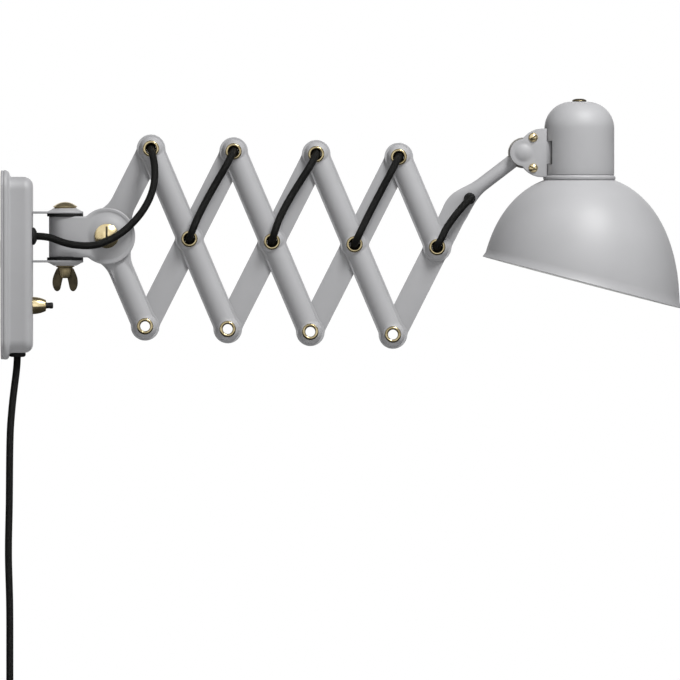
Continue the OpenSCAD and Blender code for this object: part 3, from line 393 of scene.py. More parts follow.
@dataclass
class Draft:
    """Points and faces of a piece in millimetres, gathered before they become one mesh."""

    points: list[Point] = field(default_factory=list)
    faces: list[tuple[int, ...]] = field(default_factory=list)
    uvs: dict[tuple[int, ...], list[Pair]] = field(default_factory=dict)
    slots: dict[tuple[int, ...], int] = field(default_factory=dict)

    def skin(self, rings: Sequence[Route], loop: bool = False, capped: bool = True,
             place: Optional[Matrix] = None, run: Optional[Sequence[float]] = None,
             slot: int = 0) -> "Draft":
        """Joins rings of equally many points with faces.

        Args:
            rings: the rings, in order.
            loop: whether the last ring joins the first.
            capped: whether both end rings are closed with a face.
            place: moves the rings first.
            run: length along the rings, in millimetres, which becomes the V of a UV map.
            slot: the faces' material slot.

        Returns:
            This draft.
        """
        base, sides = len(self.points), len(rings[0])
        for ring in rings:
            for p in ring:
                self.points.append(tuple(place @ Vector(p)) if place else tuple(p))
        pairs = len(rings) if loop else len(rings) - 1
        for i in range(pairs):
            low, high = base + i * sides, base + ((i + 1) % len(rings)) * sides
            for k in range(sides):
                n = (k + 1) % sides
                face = (low + k, low + n, high + n, high + k)
                self.faces.append(face)
                self.slots[face] = slot
                if run is not None:
                    u0, u1 = k / sides, (k + 1) / sides
                    self.uvs[face] = [(u0, run[i]), (u1, run[i]), (u1, run[i + 1]), (u0, run[i + 1])]
        if capped and not loop:
            for cap in (tuple(range(base + sides - 1, base - 1, -1)),
                        tuple(range(base + (len(rings) - 1) * sides, base + len(rings) * sides))):
                self.faces.append(cap)
                self.slots[cap] = slot
        return self

    def lathe(self, profile: Route, place: Matrix, sides: int = 64, loop: bool = False,
              slot: int = 0) -> "Draft":
        """Turns a profile of (radius, height) round the height axis.

        Args:
            profile: the profile; it starts and ends on the axis, or returns to its start.
            place: puts the turned solid in place.
            sides: steps round the axis.
            loop: whether the profile returns to its start.
            slot: the faces' material slot.

        Returns:
            This draft.
        """
        turns = [2 * math.pi * k / sides for k in range(sides)]
        rings = [[(r * math.cos(a), r * math.sin(a), h) for a in turns] for r, h in profile]
        return self.skin(rings, loop=loop, capped=False, place=place, slot=slot)

    def tube(self, route: Route, radius: float, sides: int = 16, side: Point = (1, 0, 0),
             swell: Optional[Callable[[Point], float]] = None) -> "Draft":
        """Sweeps a round section along a route, with a UV map in turns and millimetres.

        Args:
            route: points of the middle line.
            radius: the section's radius.
            sides: its sides.
            side: a direction that never runs along the route.
            swell: what the radius gains at a place, or None.

        Returns:
            This draft.
        """
        pts = np.array(route, float)
        steps = np.linalg.norm(np.diff(pts, axis=0), axis=1)
        run = np.concatenate([[0], np.cumsum(steps)])
        turns = [2 * math.pi * k / sides for k in range(sides)]
        rings = []
        normal = None
        for i, p in enumerate(pts):
            t = pts[min(i + 1, len(pts) - 1)] - pts[max(i - 1, 0)]
            t = t / np.linalg.norm(t)
            if normal is None:
                normal = np.cross(t, np.array(side, float))
            normal = normal - t * (normal @ t)
            normal = normal / np.linalg.norm(normal)
            other = np.cross(t, normal)
            size = radius + (swell(p) if swell else 0.0)
            rings.append([p + size * (normal * math.cos(a) + other * math.sin(a)) for a in turns])
        return self.skin(rings, run=list(run))

    def prism(self, outline: Route, low: float, high: float, place: Matrix) -> "Draft":
        """Extrudes a flat outline between two heights."""
        return self.skin([[(x, y, low) for x, y in outline], [(x, y, high) for x, y in outline]], place=place)

    def rod(self, radius: float, low: float, high: float, place: Matrix, sides: int) -> "Draft":
        """A closed cylinder between two heights, such as the cutter of a bore."""
        return self.lathe([(0, low), (radius, low), (radius, high), (0, high)], place, sides)

    def shape(self, name: str, materials: Sequence[Material]) -> Piece:
        """Makes an object, in metres, with smooth shading.

        Args:
            name: the object's name.
            materials: a material for each slot index used.

        Returns:
            The new object.
        """
        mesh = bpy.data.meshes.new(name)
        mesh.from_pydata([tuple(c * MM for c in p) for p in self.points], [], self.faces)
        if self.uvs:
            layer = mesh.uv_layers.new(name="Run")
            for poly, face in zip(mesh.polygons, self.faces):
                for loop, uv in zip(poly.loop_indices, self.uvs.get(face, [])):
                    layer.data[loop].uv = (uv[0], uv[1] * MM)
        for material in materials:
            mesh.materials.append(material)
        for poly, face in zip(mesh.polygons, self.faces):
            poly.material_index = self.slots.get(face, 0)
        work = bmesh.new()
        work.from_mesh(mesh)
        bmesh.ops.remove_doubles(work, verts=work.verts, dist=WELD)
        bmesh.ops.recalc_face_normals(work, faces=work.faces)
        work.to_mesh(mesh)
        work.free()
        smooth(mesh)
        piece = bpy.data.objects.new(name, mesh)
        bpy.context.scene.collection.objects.link(piece)
        return piece

    def made(self, name: str, *looks: "Look") -> Piece:
        """Makes a piece of the lamp.

        Args:
            name: the piece's name.
            looks: a finish for each slot index used; the first one gives the record's slot.

        Returns:
            The new piece.
        """
        piece = self.shape(name, [look.material for look in looks])
        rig.slot(piece, looks[0].slot)
        return piece


def smooth(mesh: bpy.types.Mesh) -> None:
    """Shades a mesh smooth, with sharp edges where it turns by more than the smooth angle."""
    mesh.polygons.foreach_set("use_smooth", [True] * len(mesh.polygons))
    mesh.set_sharp_from_angle(angle=SMOOTH_ANGLE)


def bevelled(piece: Piece, width: float, segments: int = 3) -> Piece:
    """Rounds a piece's sharp edges and keeps the result as its mesh.

    Args:
        piece: the piece.
        width: the round's width, in millimetres.
        segments: steps of the round.

    Returns:
        The same piece.
    """
    bevel = piece.modifiers.new("Edges", "BEVEL")
    bevel.width = width * MM
    bevel.segments = segments
    bevel.limit_method = "ANGLE"
    bevel.angle_limit = math.radians(40)
    bevel.use_clamp_overlap = True
    return applied(piece)


def applied(piece: Piece) -> Piece:
    """Applies a piece's modifiers and shades the result smooth.

    Args:
        piece: the piece.

    Returns:
        The same piece.
    """
    bpy.context.view_layer.update()
    graph = bpy.context.evaluated_depsgraph_get()
    mesh = bpy.data.meshes.new_from_object(piece.evaluated_get(graph), depsgraph=graph)
    piece.modifiers.clear()
    old, piece.data = piece.data, mesh
    bpy.data.meshes.remove(old)
    mesh.name = piece.name
    smooth(mesh)
    return piece


def bored(piece: Piece, cutter: Draft, lining: Optional["Look"] = None) -> Piece:
    """Cuts a draft out of a piece.

    Args:
        piece: the piece.
        cutter: the closed shape that is taken away.
        lining: the finish of the cut faces, or None for the piece's own.

    Returns:
        The same piece.
    """
    tool = cutter.shape("cutter", [lining.material] if lining else [])
    cut = piece.modifiers.new("Bores", "BOOLEAN")
    cut.material_mode = "TRANSFER" if lining else "INDEX"
    cut.operation = "DIFFERENCE"
    cut.solver = "EXACT"
    cut.object = tool
    applied(piece)
    bpy.data.objects.remove(tool)
    return piece


def on_body(piece: Piece, body: str, *nodes: str) -> Piece:
    """Lets a piece ride on a body and stand for CAD nodes.

    Args:
        piece: the piece.
        body: the body that carries it.
        nodes: the CAD nodes that it replaces.

    Returns:
        The same piece.
    """
    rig.ride(piece, body)
    if nodes:
        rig.replaces(piece, *nodes)
    LOG.info("%s rides on %s for %s", piece.name, body, ", ".join(nodes) or "no node")
    return piece


# Finishes


class NodeSheet:
    """Shader nodes that are laid one after another, in a material or in the world."""

    def __init__(self, owner: "Material | bpy.types.World") -> None:
        """Starts with what the owner has: a material's own shader, or nothing."""
        self.tree = owner.node_tree
        self.shader = self.tree.nodes.get("Principled BSDF")

    @classmethod
    def named(cls, name: str) -> "NodeSheet":
        """Starts a new material."""
        (material := bpy.data.materials.new(name)).use_nodes = True
        return cls(material)

    def add(self, kind: str, inputs: Optional[dict] = None, **values: object) -> bpy.types.Node:
        """Adds a node.

        Args:
            kind: Blender's name of the node's type.
            inputs: what goes into its inputs. A socket is linked, a number or colour is set, None isn't.
            values: the properties to set.

        Returns:
            The node.
        """
        node = self.tree.nodes.new(kind)
        for key, value in values.items():
            setattr(node, key, value)
        for key, value in (inputs or {}).items():
            if isinstance(value, Socket):
                self.link(value, node.inputs[key])
            elif value is not None:
                node.inputs[key].default_value = value
        return node

    def link(self, source: Socket, target: Socket) -> None:
        """Joins two sockets."""
        self.tree.links.new(source, target)

    def coordinate(self, kind: str = "Object") -> Socket:
        """Texture coordinates of one kind."""
        return self.add("ShaderNodeTexCoord").outputs[kind]

    def noise(self, coordinate: Socket, scale: float, detail: float = 3.0) -> Socket:
        """Noise on a coordinate."""
        inputs = {"Vector": coordinate, "Scale": scale, "Detail": detail}
        return self.add("ShaderNodeTexNoise", inputs).outputs["Fac"]

    def spread(self, value: Socket, low: float, high: float, start: float = 0.3, end: float = 0.7) -> Socket:
        """Maps a value from start and end to low and high."""
        reach = {"Value": value, "From Min": start, "From Max": end, "To Min": low, "To Max": high}
        return self.add("ShaderNodeMapRange", reach).outputs["Result"]

    def ramp(self, value: Socket, low: Colour, high: Colour, start: float = 0.3, end: float = 0.7) -> Socket:
        """Turns a value into a colour between two colours.

        Args:
            value: the value.
            low: the colour up to the start.
            high: the colour from the end.
            start: the value where the change starts.
            end: the value where it ends.

        Returns:
            The colour.
        """
        ramp = self.add("ShaderNodeValToRGB", {"Fac": value})
        for element, position, tone in zip(ramp.color_ramp.elements, (start, end), (low, high)):
            element.position, element.color = position, (*tone, 1)
        return ramp.outputs["Color"]

    def colour(self, value: Socket, low: Colour, high: Colour, start: float = 0.3, end: float = 0.7) -> None:
        """Colours the surface between two colours, by a value."""
        self.link(self.ramp(value, low, high, start, end), self.shader.inputs["Base Color"])

    def gloss(self, value: Socket, low: float, high: float) -> None:
        """Spreads the surface's roughness between two numbers, by a value."""
        self.link(self.spread(value, low, high), self.shader.inputs["Roughness"])

    def fix(self, name: str, value: float) -> None:
        """Sets one of the shader's own inputs to a number."""
        self.shader.inputs[name].default_value = value

    def bump(self, height: Socket, strength: float, distance: float) -> None:
        """Roughens the surface by a height, in metres."""
        node = self.add("ShaderNodeBump", {"Strength": strength, "Distance": distance, "Height": height})
        self.link(node.outputs["Normal"], self.shader.inputs["Normal"])

    def arith(self, operation: str, first: Socket, second: object = None) -> Socket:
        """One arithmetic step on a value and a number or another value."""
        return self.add("ShaderNodeMath", {0: first, 1: second}, operation=operation).outputs["Value"]

    def seen_rays(self) -> Socket:
        """One where a camera, glossy or transmission ray looks, and else zero.

        Returns:
            The value.
        """
        path = self.add("ShaderNodeLightPath").outputs
        seen = self.arith("MAXIMUM", path["Is Camera Ray"], path["Is Glossy Ray"])
        return self.arith("MAXIMUM", seen, path["Is Transmission Ray"])


@dataclass(frozen=True)
class Finish:
    """What the finishes share: a name, and a material made from the finish's own nodes."""

    name: str

    def lay(self, sheet: NodeSheet) -> None:
        """Lays the nodes."""
        raise NotImplementedError

    def made(self) -> Material:
        """Makes the material.

        Returns:
            The material.
        """
        self.lay(NodeSheet.named(self.name))
        return bpy.data.materials[self.name]


@dataclass(frozen=True)
class Moulded(Finish):
    """Moulded rubber or plastic, slightly clouded, with a fine grain."""

    light: Colour
    dark: Colour
    gloss_from: float
    gloss_to: float
    shine: float = 0.5
    cloud_scale: float = 60.0
    cloud_detail: float = 3.0
    grain_scale: float = 1100.0
    grain_detail: float = 3.0
    grain_height: float = 0.00012
    grain_strength: float = 0.25

    def lay(self, sheet: NodeSheet) -> None:
        """Lays the nodes.

        Args:
            sheet: the material's nodes.
        """
        place = sheet.coordinate()
        cloud = sheet.noise(place, self.cloud_scale, self.cloud_detail)
        sheet.colour(cloud, self.dark, self.light)
        sheet.gloss(cloud, self.gloss_from, self.gloss_to)
        grain = sheet.noise(place, self.grain_scale, self.grain_detail)
        sheet.bump(grain, self.grain_strength, self.grain_height)
        sheet.fix("Specular IOR Level", self.shine)


@dataclass(frozen=True)
class PowderCoat(Moulded):
    """Satin powder coat on steel: clouded as a moulding is, with a faint orange peel as its grain."""

    gloss_from: float = 0.46
    gloss_to: float = 0.54
    cloud_scale: float = 22.0
    cloud_detail: float = 4.0
    grain_scale: float = 900.0
    grain_detail: float = 2.0
    grain_strength: float = 0.22


@dataclass(frozen=True)
class Brass(Finish):
    """Turned brass with fine tool marks and a thin patina."""

    bright: Colour
    aged: Colour
    gloss_from: float = 0.14
    gloss_to: float = 0.30
    patina_scale: float = 140.0
    patina_reach: Pair = (0.32, 0.6)
    mark_scale: float = 1500.0
    mark_height: float = 0.00005
    mark_strength: float = 0.15

    def lay(self, sheet: NodeSheet) -> None:
        """Lays the nodes.

        Args:
            sheet: the material's nodes.
        """
        place = sheet.coordinate()
        patina = sheet.noise(place, self.patina_scale, 5.0)
        sheet.colour(patina, self.aged, self.bright, *self.patina_reach)
        sheet.gloss(patina, self.gloss_to, self.gloss_from)
        sheet.bump(sheet.noise(place, self.mark_scale, 2.0), self.mark_strength, self.mark_height)
        sheet.fix("Metallic", 1.0)


@dataclass(frozen=True)
class Braid(Finish):
    """Round braided textile cord: two sets of strands that cross, read from the cord's own UV map."""

    strand: Colour
    gap: Colour
    strands: int = 12
    pitch: float = 0.016
    height: float = 0.00045
    strength: float = 0.7
    weave_limit: float = 0.9
    strand_reach: Pair = (0.15, 0.75)
    fuzz_scale: float = 4200.0
    fuzz_share: float = 0.5
    roughness: float = 0.42
    shine: float = 0.14

    def lay(self, sheet: NodeSheet) -> None:
        """Lays the nodes.

        Args:
            sheet: the material's nodes.
        """
        uv = sheet.add("ShaderNodeUVMap", uv_map="Run").outputs["UV"]
        split = sheet.add("ShaderNodeSeparateXYZ", {"Vector": uv})
        turn = sheet.arith("MULTIPLY", split.outputs["X"], 2 * math.pi * self.strands)
        run = sheet.arith("MULTIPLY", split.outputs["Y"], 2 * math.pi * self.strands / self.pitch)
        one = sheet.arith("SINE", sheet.arith("ADD", turn, run))
        two = sheet.arith("SINE", sheet.arith("SUBTRACT", turn, run))
        cross = sheet.arith("MULTIPLY", one, two)
        weave = sheet.spread(cross, 0.0, 1.0, -self.weave_limit, self.weave_limit)
        sheet.colour(weave, self.gap, self.strand, *self.strand_reach)
        fuzz = sheet.arith("MULTIPLY", sheet.noise(sheet.coordinate(), self.fuzz_scale, 2.0), self.fuzz_share)
        sheet.bump(sheet.arith("ADD", weave, fuzz), self.strength, self.height)
        sheet.fix("Roughness", self.roughness)
        sheet.fix("Specular IOR Level", self.shine)


class Look(Enum):
    """The lamp's finishes, each with its slot of the record."""

    COAT = (PowderCoat("grey_powder_coat", (0.405, 0.405, 0.415), (0.385, 0.385, 0.394)), Slot.PAINT)
    INNER_COAT = (PowderCoat("white_enamel", (0.80, 0.80, 0.79), (0.77, 0.77, 0.76), 0.3, 0.36), Slot.PAINT)
    BRASS = (Brass("turned_brass", (0.74, 0.62, 0.37), (0.60, 0.48, 0.26)), Slot.BRASS)
    # Near-black brass that lines the screw slots: painted shade in the slots.
    SLOT_SHADE_BRASS = (Brass("slot_brass", (0.09, 0.075, 0.045), (0.05, 0.042, 0.028), 0.4, 0.55), Slot.BRASS)
    # Darkened brass: its dark colour paints the reflection of dark surroundings.
    REFLECTION_DARKENED_BRASS = (Brass("dark_reflection_brass", (0.20, 0.165, 0.10), (0.10, 0.082, 0.05), 0.20, 0.34), Slot.BRASS)
    # Near-black brass for the wing nut's petals: its dark colour paints the reflection of dark surroundings.
    PETAL_REFLECTION_BRASS = (Brass("petal_dark_reflection_brass", (0.042, 0.035, 0.022), (0.020, 0.017, 0.011), 0.2, 0.3), Slot.BRASS)
    SATIN_BRASS = (Brass("satin_brass", (0.40, 0.33, 0.195), (0.26, 0.21, 0.12), 0.36, 0.46), Slot.BRASS)
    SATIN_NICKEL = (Brass("satin_nickel", (0.66, 0.64, 0.60), (0.56, 0.54, 0.50), 0.42, 0.52), Slot.BRASS)
    EYELET_BRASS = (Brass("eyelet_brass", (0.46, 0.385, 0.225), (0.24, 0.195, 0.105), 0.16, 0.28), Slot.BRASS)
    NICKEL = (Brass("nickel_plate", (0.48, 0.46, 0.43), (0.42, 0.40, 0.37), 0.26, 0.36), Slot.BRASS)
    BRAID = (Braid("black_braid", (0.0075, 0.0075, 0.007), (0.0025, 0.0025, 0.002)), Slot.TEXTILE)
    RUBBER = (Moulded("black_rubber_grain", (0.014, 0.014, 0.014), (0.009, 0.009, 0.009), 0.5, 0.62, 0.15),
              Slot.RUBBER)
    BLACK_PLASTIC = (Moulded("black_plastic_grain", (0.014, 0.014, 0.014), (0.010, 0.010, 0.010), 0.3, 0.4,
                             0.25), Slot.PLASTIC)
    WHITE_PLASTIC = (Moulded("white_plastic_grain", (0.80, 0.80, 0.77), (0.74, 0.74, 0.71), 0.35, 0.45),
                     Slot.WHITE)

    @property
    def slot(self) -> str:
        """The record's name of the slot."""
        return self.value[1].value

    @property
    def material(self) -> Material:
        """The material, made when it is first asked for."""
        return bpy.data.materials.get(self.value[0].name) or self.value[0].made()


# Camera and light


@dataclass(frozen=True)
class Studio:
    """Camera at the photograph's viewing angle, soft lamps, and a pale floor under the cord's plug."""

    view_middle: Pair = (362.3, -80.3)
    view_width: float = 727.6
    distance: float = 20000.0
    sensor: float = 36.0
    clip: Pair = (0.1, 100.0)
    room_heights: Pair = (0.25, 0.75)
    room_tones: Pair = (0.12, 0.25)
    middle_x: float = 360.0
    matt: float = 0.9
    floor_z: float = -660.0
    floor_half: float = 2600.0
    floor_tones: Pair = (0.80, 0.83)
    floor_paleness: float = 0.45
    aim: Point = (0.40, 0.0, 0.0)
    lamps: tuple[tuple[str, Point, float, float], ...] = (
        ("key_lamp", (1.1, -1.05, 1.7), 0.6, 48.0), ("fill_lamp", (0.1, -2.6, 0.3), 1.8, 4.0),
    )
    reflected: tuple[tuple[str, Point, Point, float, float], ...] = (
        ("over", (0, 1300, 1700), DOWN, 1500, 0.45), ("under", (0, 0, -650), UP, 2200, 0.03),
        ("left", (-1500, 1200, 0), OUT, 1500, 0.1), ("right", (1500, 1200, 0), (-1, 0, 0), 1500, 0.1),
    )
    panel_grain: float = 1.2

    def camera(self) -> None:
        """Makes the camera."""
        data = bpy.data.cameras.new("photo_camera")
        data.sensor_width = self.sensor
        data.lens = self.sensor * self.distance / self.view_width
        data.clip_start, data.clip_end = self.clip
        camera = bpy.data.objects.new("photo_camera", data)
        camera.location = (self.view_middle[0] * MM, -self.distance * MM, self.view_middle[1] * MM)
        camera.rotation_euler = (math.radians(90), 0, 0)
        bpy.context.scene.collection.objects.link(camera)
        bpy.context.scene.camera = camera

    def lamp(self, name: str, at: Point, side: float, power: float) -> None:
        """Makes one soft square lamp.

        Args:
            name: its name.
            at: its place, in metres.
            side: its side, in metres.
            power: its power, in watts.
        """
        data = bpy.data.lights.new(name, "AREA")
        data.shape = "RECTANGLE"
        data.size = data.size_y = side
        data.energy = power
        lamp = bpy.data.objects.new(name, data)
        lamp.location = at
        lamp.rotation_euler = (Vector(self.aim) - Vector(at)).to_track_quat("-Z", "Y").to_euler()
        bpy.context.scene.collection.objects.link(lamp)

    def world(self) -> None:
        """White behind the object and in its reflections; a softer room that lights it."""
        world = bpy.data.worlds.new("studio_room")
        bpy.context.scene.world = world
        world.use_nodes = True
        world.node_tree.nodes.clear()
        sheet = NodeSheet(world)
        up = sheet.add("ShaderNodeSeparateXYZ", {"Vector": sheet.coordinate("Generated")}).outputs["Z"]
        low, high = ((tone,) * 3 for tone in self.room_tones)
        tone = sheet.ramp(sheet.spread(up, 0.0, 1.0, -1.0, 1.0), low, high, *self.room_heights)
        room = sheet.add("ShaderNodeBackground", {"Color": tone}).outputs["Background"]
        white = sheet.add("ShaderNodeBackground", {"Color": (1, 1, 1, 1)}).outputs["Background"]
        mix = sheet.add("ShaderNodeMixShader", {"Fac": sheet.seen_rays(), 1: room, 2: white})
        sheet.add("ShaderNodeOutputWorld", {"Surface": mix.outputs["Shader"]})

    def square(self, name: str, material: str, place: Matrix, half: float) -> Piece:
        """Makes a flat square that belongs to the studio.

        Args:
            name: its name.
            material: its material's name.
            place: puts its middle in place, in millimetres.
            half: half its side.

        Returns:
            The square.
        """
        corners = [tuple(place @ Vector((x, y, 0))) for x, y in rect(-half, half, -half, half)]
        square = Draft(corners, [(0, 1, 2, 3)]).shape(name, [bpy.data.materials[material]])
        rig.slot(square, Slot.PAINT.value)
        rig.stage(square)
        return square

    def panels(self) -> None:
        """Panels above, below and beside the object, which only its reflections show."""
        for name, at, way, half, tone in self.reflected:
            sheet = NodeSheet.named(f"panel_{name}_matt")
            grain = sheet.noise(sheet.coordinate(), 5.0, 2.0)
            sheet.colour(grain, (tone,) * 3, (tone * self.panel_grain,) * 3)
            sheet.fix("Roughness", self.matt)
            place = on_axis((at[0] + self.middle_x, at[1], at[2]), way)
            panel = self.square(f"panel_{name}", f"panel_{name}_matt", place, half)
            panel.visible_camera = panel.visible_diffuse = panel.visible_shadow = False
            panel.visible_transmission = panel.visible_volume_scatter = False

    def floor(self) -> None:
        """A plain pale floor, paler still where it is looked at."""
        sheet = NodeSheet.named("pale_floor")
        low, high = self.floor_tones
        sheet.colour(sheet.noise(sheet.coordinate(), 8.0, 3.0), (low,) * 3, (high,) * 3)
        pale = sheet.arith("MULTIPLY", sheet.seen_rays(), self.floor_paleness)
        glow = sheet.add("ShaderNodeEmission").outputs["Emission"]
        mix = sheet.add("ShaderNodeMixShader", {"Fac": pale, 1: sheet.shader.outputs["BSDF"], 2: glow})
        sheet.link(mix.outputs["Shader"], sheet.tree.nodes["Material Output"].inputs["Surface"])
        sheet.fix("Roughness", self.matt)
        place = Matrix.Translation((self.middle_x, 0, self.floor_z))
        self.square("floor", "pale_floor", place, self.floor_half)

    def lit(self) -> None:
        """Sets the room, the lamps, the floor and the view transform."""
        bpy.context.scene.view_settings.view_transform = "Standard"
        self.world()
        for lamp in self.lamps:
            self.lamp(*lamp)
        self.panels()
        self.floor()


# Outlines and small parts


def rounded_rect(half_w: float, half_h: float, radius: float, steps: int = 8) -> Outline:
    """Rectangle with round corners, as (across, up), with points along its sides too.

    Args:
        half_w: half its width.
        half_h: half its height.
        radius: its corner radius.
        steps: steps of each corner.

    Returns:
        The outline, anticlockwise.
    """
    out: Outline = []
    for sx, sy, start in ((1, 1, 0), (-1, 1, 90), (-1, -1, 180), (1, -1, 270)):
        out += arc((sx * (half_w - radius), sy * (half_h - radius)), radius, start, start + 90, steps)
    return out


def stadium(length: float, radius: float, steps: int = 16) -> Outline:
    """Strip from the origin along x that ends in a half circle about the point (length, 0)."""
    return [(0.0, -radius)] + arc((length, 0), radius, -90, 90, steps * 2) + [(0.0, radius)]


def joined(piece: Piece, other: Piece) -> Piece:
    """Unites another closed piece with a piece and removes the other.

    Args:
        piece: the piece that stays.
        other: the closed piece that goes into it.

    Returns:
        The piece.
    """
    union = piece.modifiers.new("Union", "BOOLEAN")
    union.operation = "UNION"
    union.solver = "EXACT"
    union.object = other
    applied(piece)
    bpy.data.objects.remove(other)
    return piece


def hexagon(radius: float, height: float, place: Matrix) -> Draft:
    """A hexagonal nut without its bore."""
    outline = [(radius * cosd(60 * k), radius * sind(60 * k)) for k in range(6)]
    return Draft().prism(outline, 0, height, place)


# What the mains lead carries


@dataclass(frozen=True)
class MainsFittings:
    """What the mains lead carries: the tie round its coil, the flat plug and the plug's pins."""

    tie_at: tuple[float, float, float] = (13.15, -90.55, -506.0)
    tie_half: Pair = (8.35, 12.5)
    tie_wall: float = 1.2
    tie_w: float = 8.0
    plug_top: tuple[float, float, float] = (17.3, 0.0, -554.0)
    pin_span: float = 18.6
    pin_len: float = 19.0
    body: tuple[tuple[float, float, float, float], ...] = (
        (0, 4.5, 4.5, 2), (-0.5, 5, 5, 2), (-1.9, 5.05, 5.05, 2), (-2.2, 4.55, 4.55, 2),
        (-2.9, 4.55, 4.55, 2), (-3.2, 5.3, 5.3, 2), (-4.6, 5.4, 5.4, 2), (-4.9, 4.8, 4.8, 2),
        (-5.6, 4.8, 4.8, 2), (-5.9, 5.6, 5.6, 2), (-7.3, 5.75, 5.75, 2), (-7.6, 5.1, 5.1, 2),
        (-8.3, 5.1, 5.1, 2), (-8.7, 5.9, 6.3, 2.1), (-10.2, 6.2, 9, 2.3), (-12, 6.5, 12.6, 2.6),
        (-14.5, 6.8, 15.3, 3), (-18, 6.95, 16.8, 3.4), (-23, 7, 17.4, 3.8), (-30, 7, 17.5, 4),
        (-38, 7, 17.5, 4.2), (-42.4, 6.95, 17.4, 4.2), (-43.5, 6.6, 17, 4.2), (-44, 6, 16.3, 4.2),
    )

    def tie(self) -> Piece:
        """Makes the tie with its small head.

        Returns:
            The tie.
        """
        wide, deep = self.tie_half
        outline = rounded_rect(wide, deep, 4.2, 6)
        rings = []
        n = len(outline)
        for i, (x, y) in enumerate(outline):
            ax, ay = outline[(i + 1) % n][0] - outline[i - 1][0], outline[(i + 1) % n][1] - outline[i - 1][1]
            size = math.hypot(ax, ay)
            nx, ny = ay / size, -ax / size
            half, t = self.tie_w / 2, self.tie_wall
            rings.append([(x + nx * o, y + ny * o, h) for o, h in
                          ((0, -half), (t * 0.7, -half), (t, -half + 0.5), (t, half - 0.5), (t * 0.7, half),
                           (0, half))])
        place = Matrix.Translation(self.tie_at)
        draft = Draft().skin(rings, loop=True, place=place)
        head = rounded_rect(3.4, 2.0, 0.7, 3)
        draft.prism(head, -4.6, 4.6, place @ Matrix.Translation((0, -deep - 2.1, 0)))
        tie = draft.made("coil_tie_strap", Look.RUBBER)
        return on_body(tie, "wall_base", "coil_tie")

    def plug(self) -> Piece:
        """Makes the plug's body with the ribs of its sleeve.

        Returns:
            The plug.
        """
        place, rings = Matrix.Translation(self.plug_top), []
        for z, half_x, half_y, power in self.body:
            ring = []
            for k in range(72):
                a = 2 * math.pi * k / 72
                c, s = math.cos(a), math.sin(a)
                ring.append((half_x * math.copysign(abs(c) ** (2 / power), c),
                             half_y * math.copysign(abs(s) ** (2 / power), s), z))
            rings.append(ring)
        draft = Draft().skin(rings, place=place)
        return on_body(draft.made("plug_moulded", Look.BLACK_PLASTIC), "wall_base", "plug")

    def pins(self) -> Piece:
        """Makes both pins, each with its insulated half.

        Returns:
            Both pins, as one piece.
        """
        draft = Draft()
        top = self.body[-1][0]
        for side in (-1, 1):
            place = Matrix.Translation(self.plug_top) @ Matrix.Translation((0, side * self.pin_span / 2, top))
            end = -self.pin_len
            draft.lathe([(0, 12), (1.9, 12), (1.9, -9.8), (1.7, -10), (0, -10)], place, 28, slot=1)
            draft.lathe([(0, -9.9), (2.0, -9.9), (2.0, end + 1.6), (1.7, end + 0.8), (1.1, end + 0.2),
                         (0, end)], place, 28)
        pins = draft.made("plug_pins_turned", Look.NICKEL, Look.BLACK_PLASTIC)
        return on_body(pins, "wall_base", "plug_pins")

    def build(self) -> list[Piece]:
        """Makes all three pieces."""
        return [self.tie(), self.plug(), self.pins()]


# Cords


def smooth_route(points: Route, steps: int) -> list[np.ndarray]:
    """A smooth curve through points.

    Args:
        points: the points.
        steps: steps between two neighbours.

    Returns:
        The curve's points.
    """
    p = [np.array(q, float) for q in points]
    out = []
    for i in range(len(p) - 1):
        a, b, c, d = p[max(i - 1, 0)], p[i], p[i + 1], p[min(i + 2, len(p) - 1)]
        for k in range(steps):
            t = k / steps
            out.append(
                (2 * b + (c - a) * t + (2 * a - 5 * b + 4 * c - d) * t**2
                 + (3 * b - a - 3 * c + d) * t**3) / 2
            )
    return out + [p[-1]]


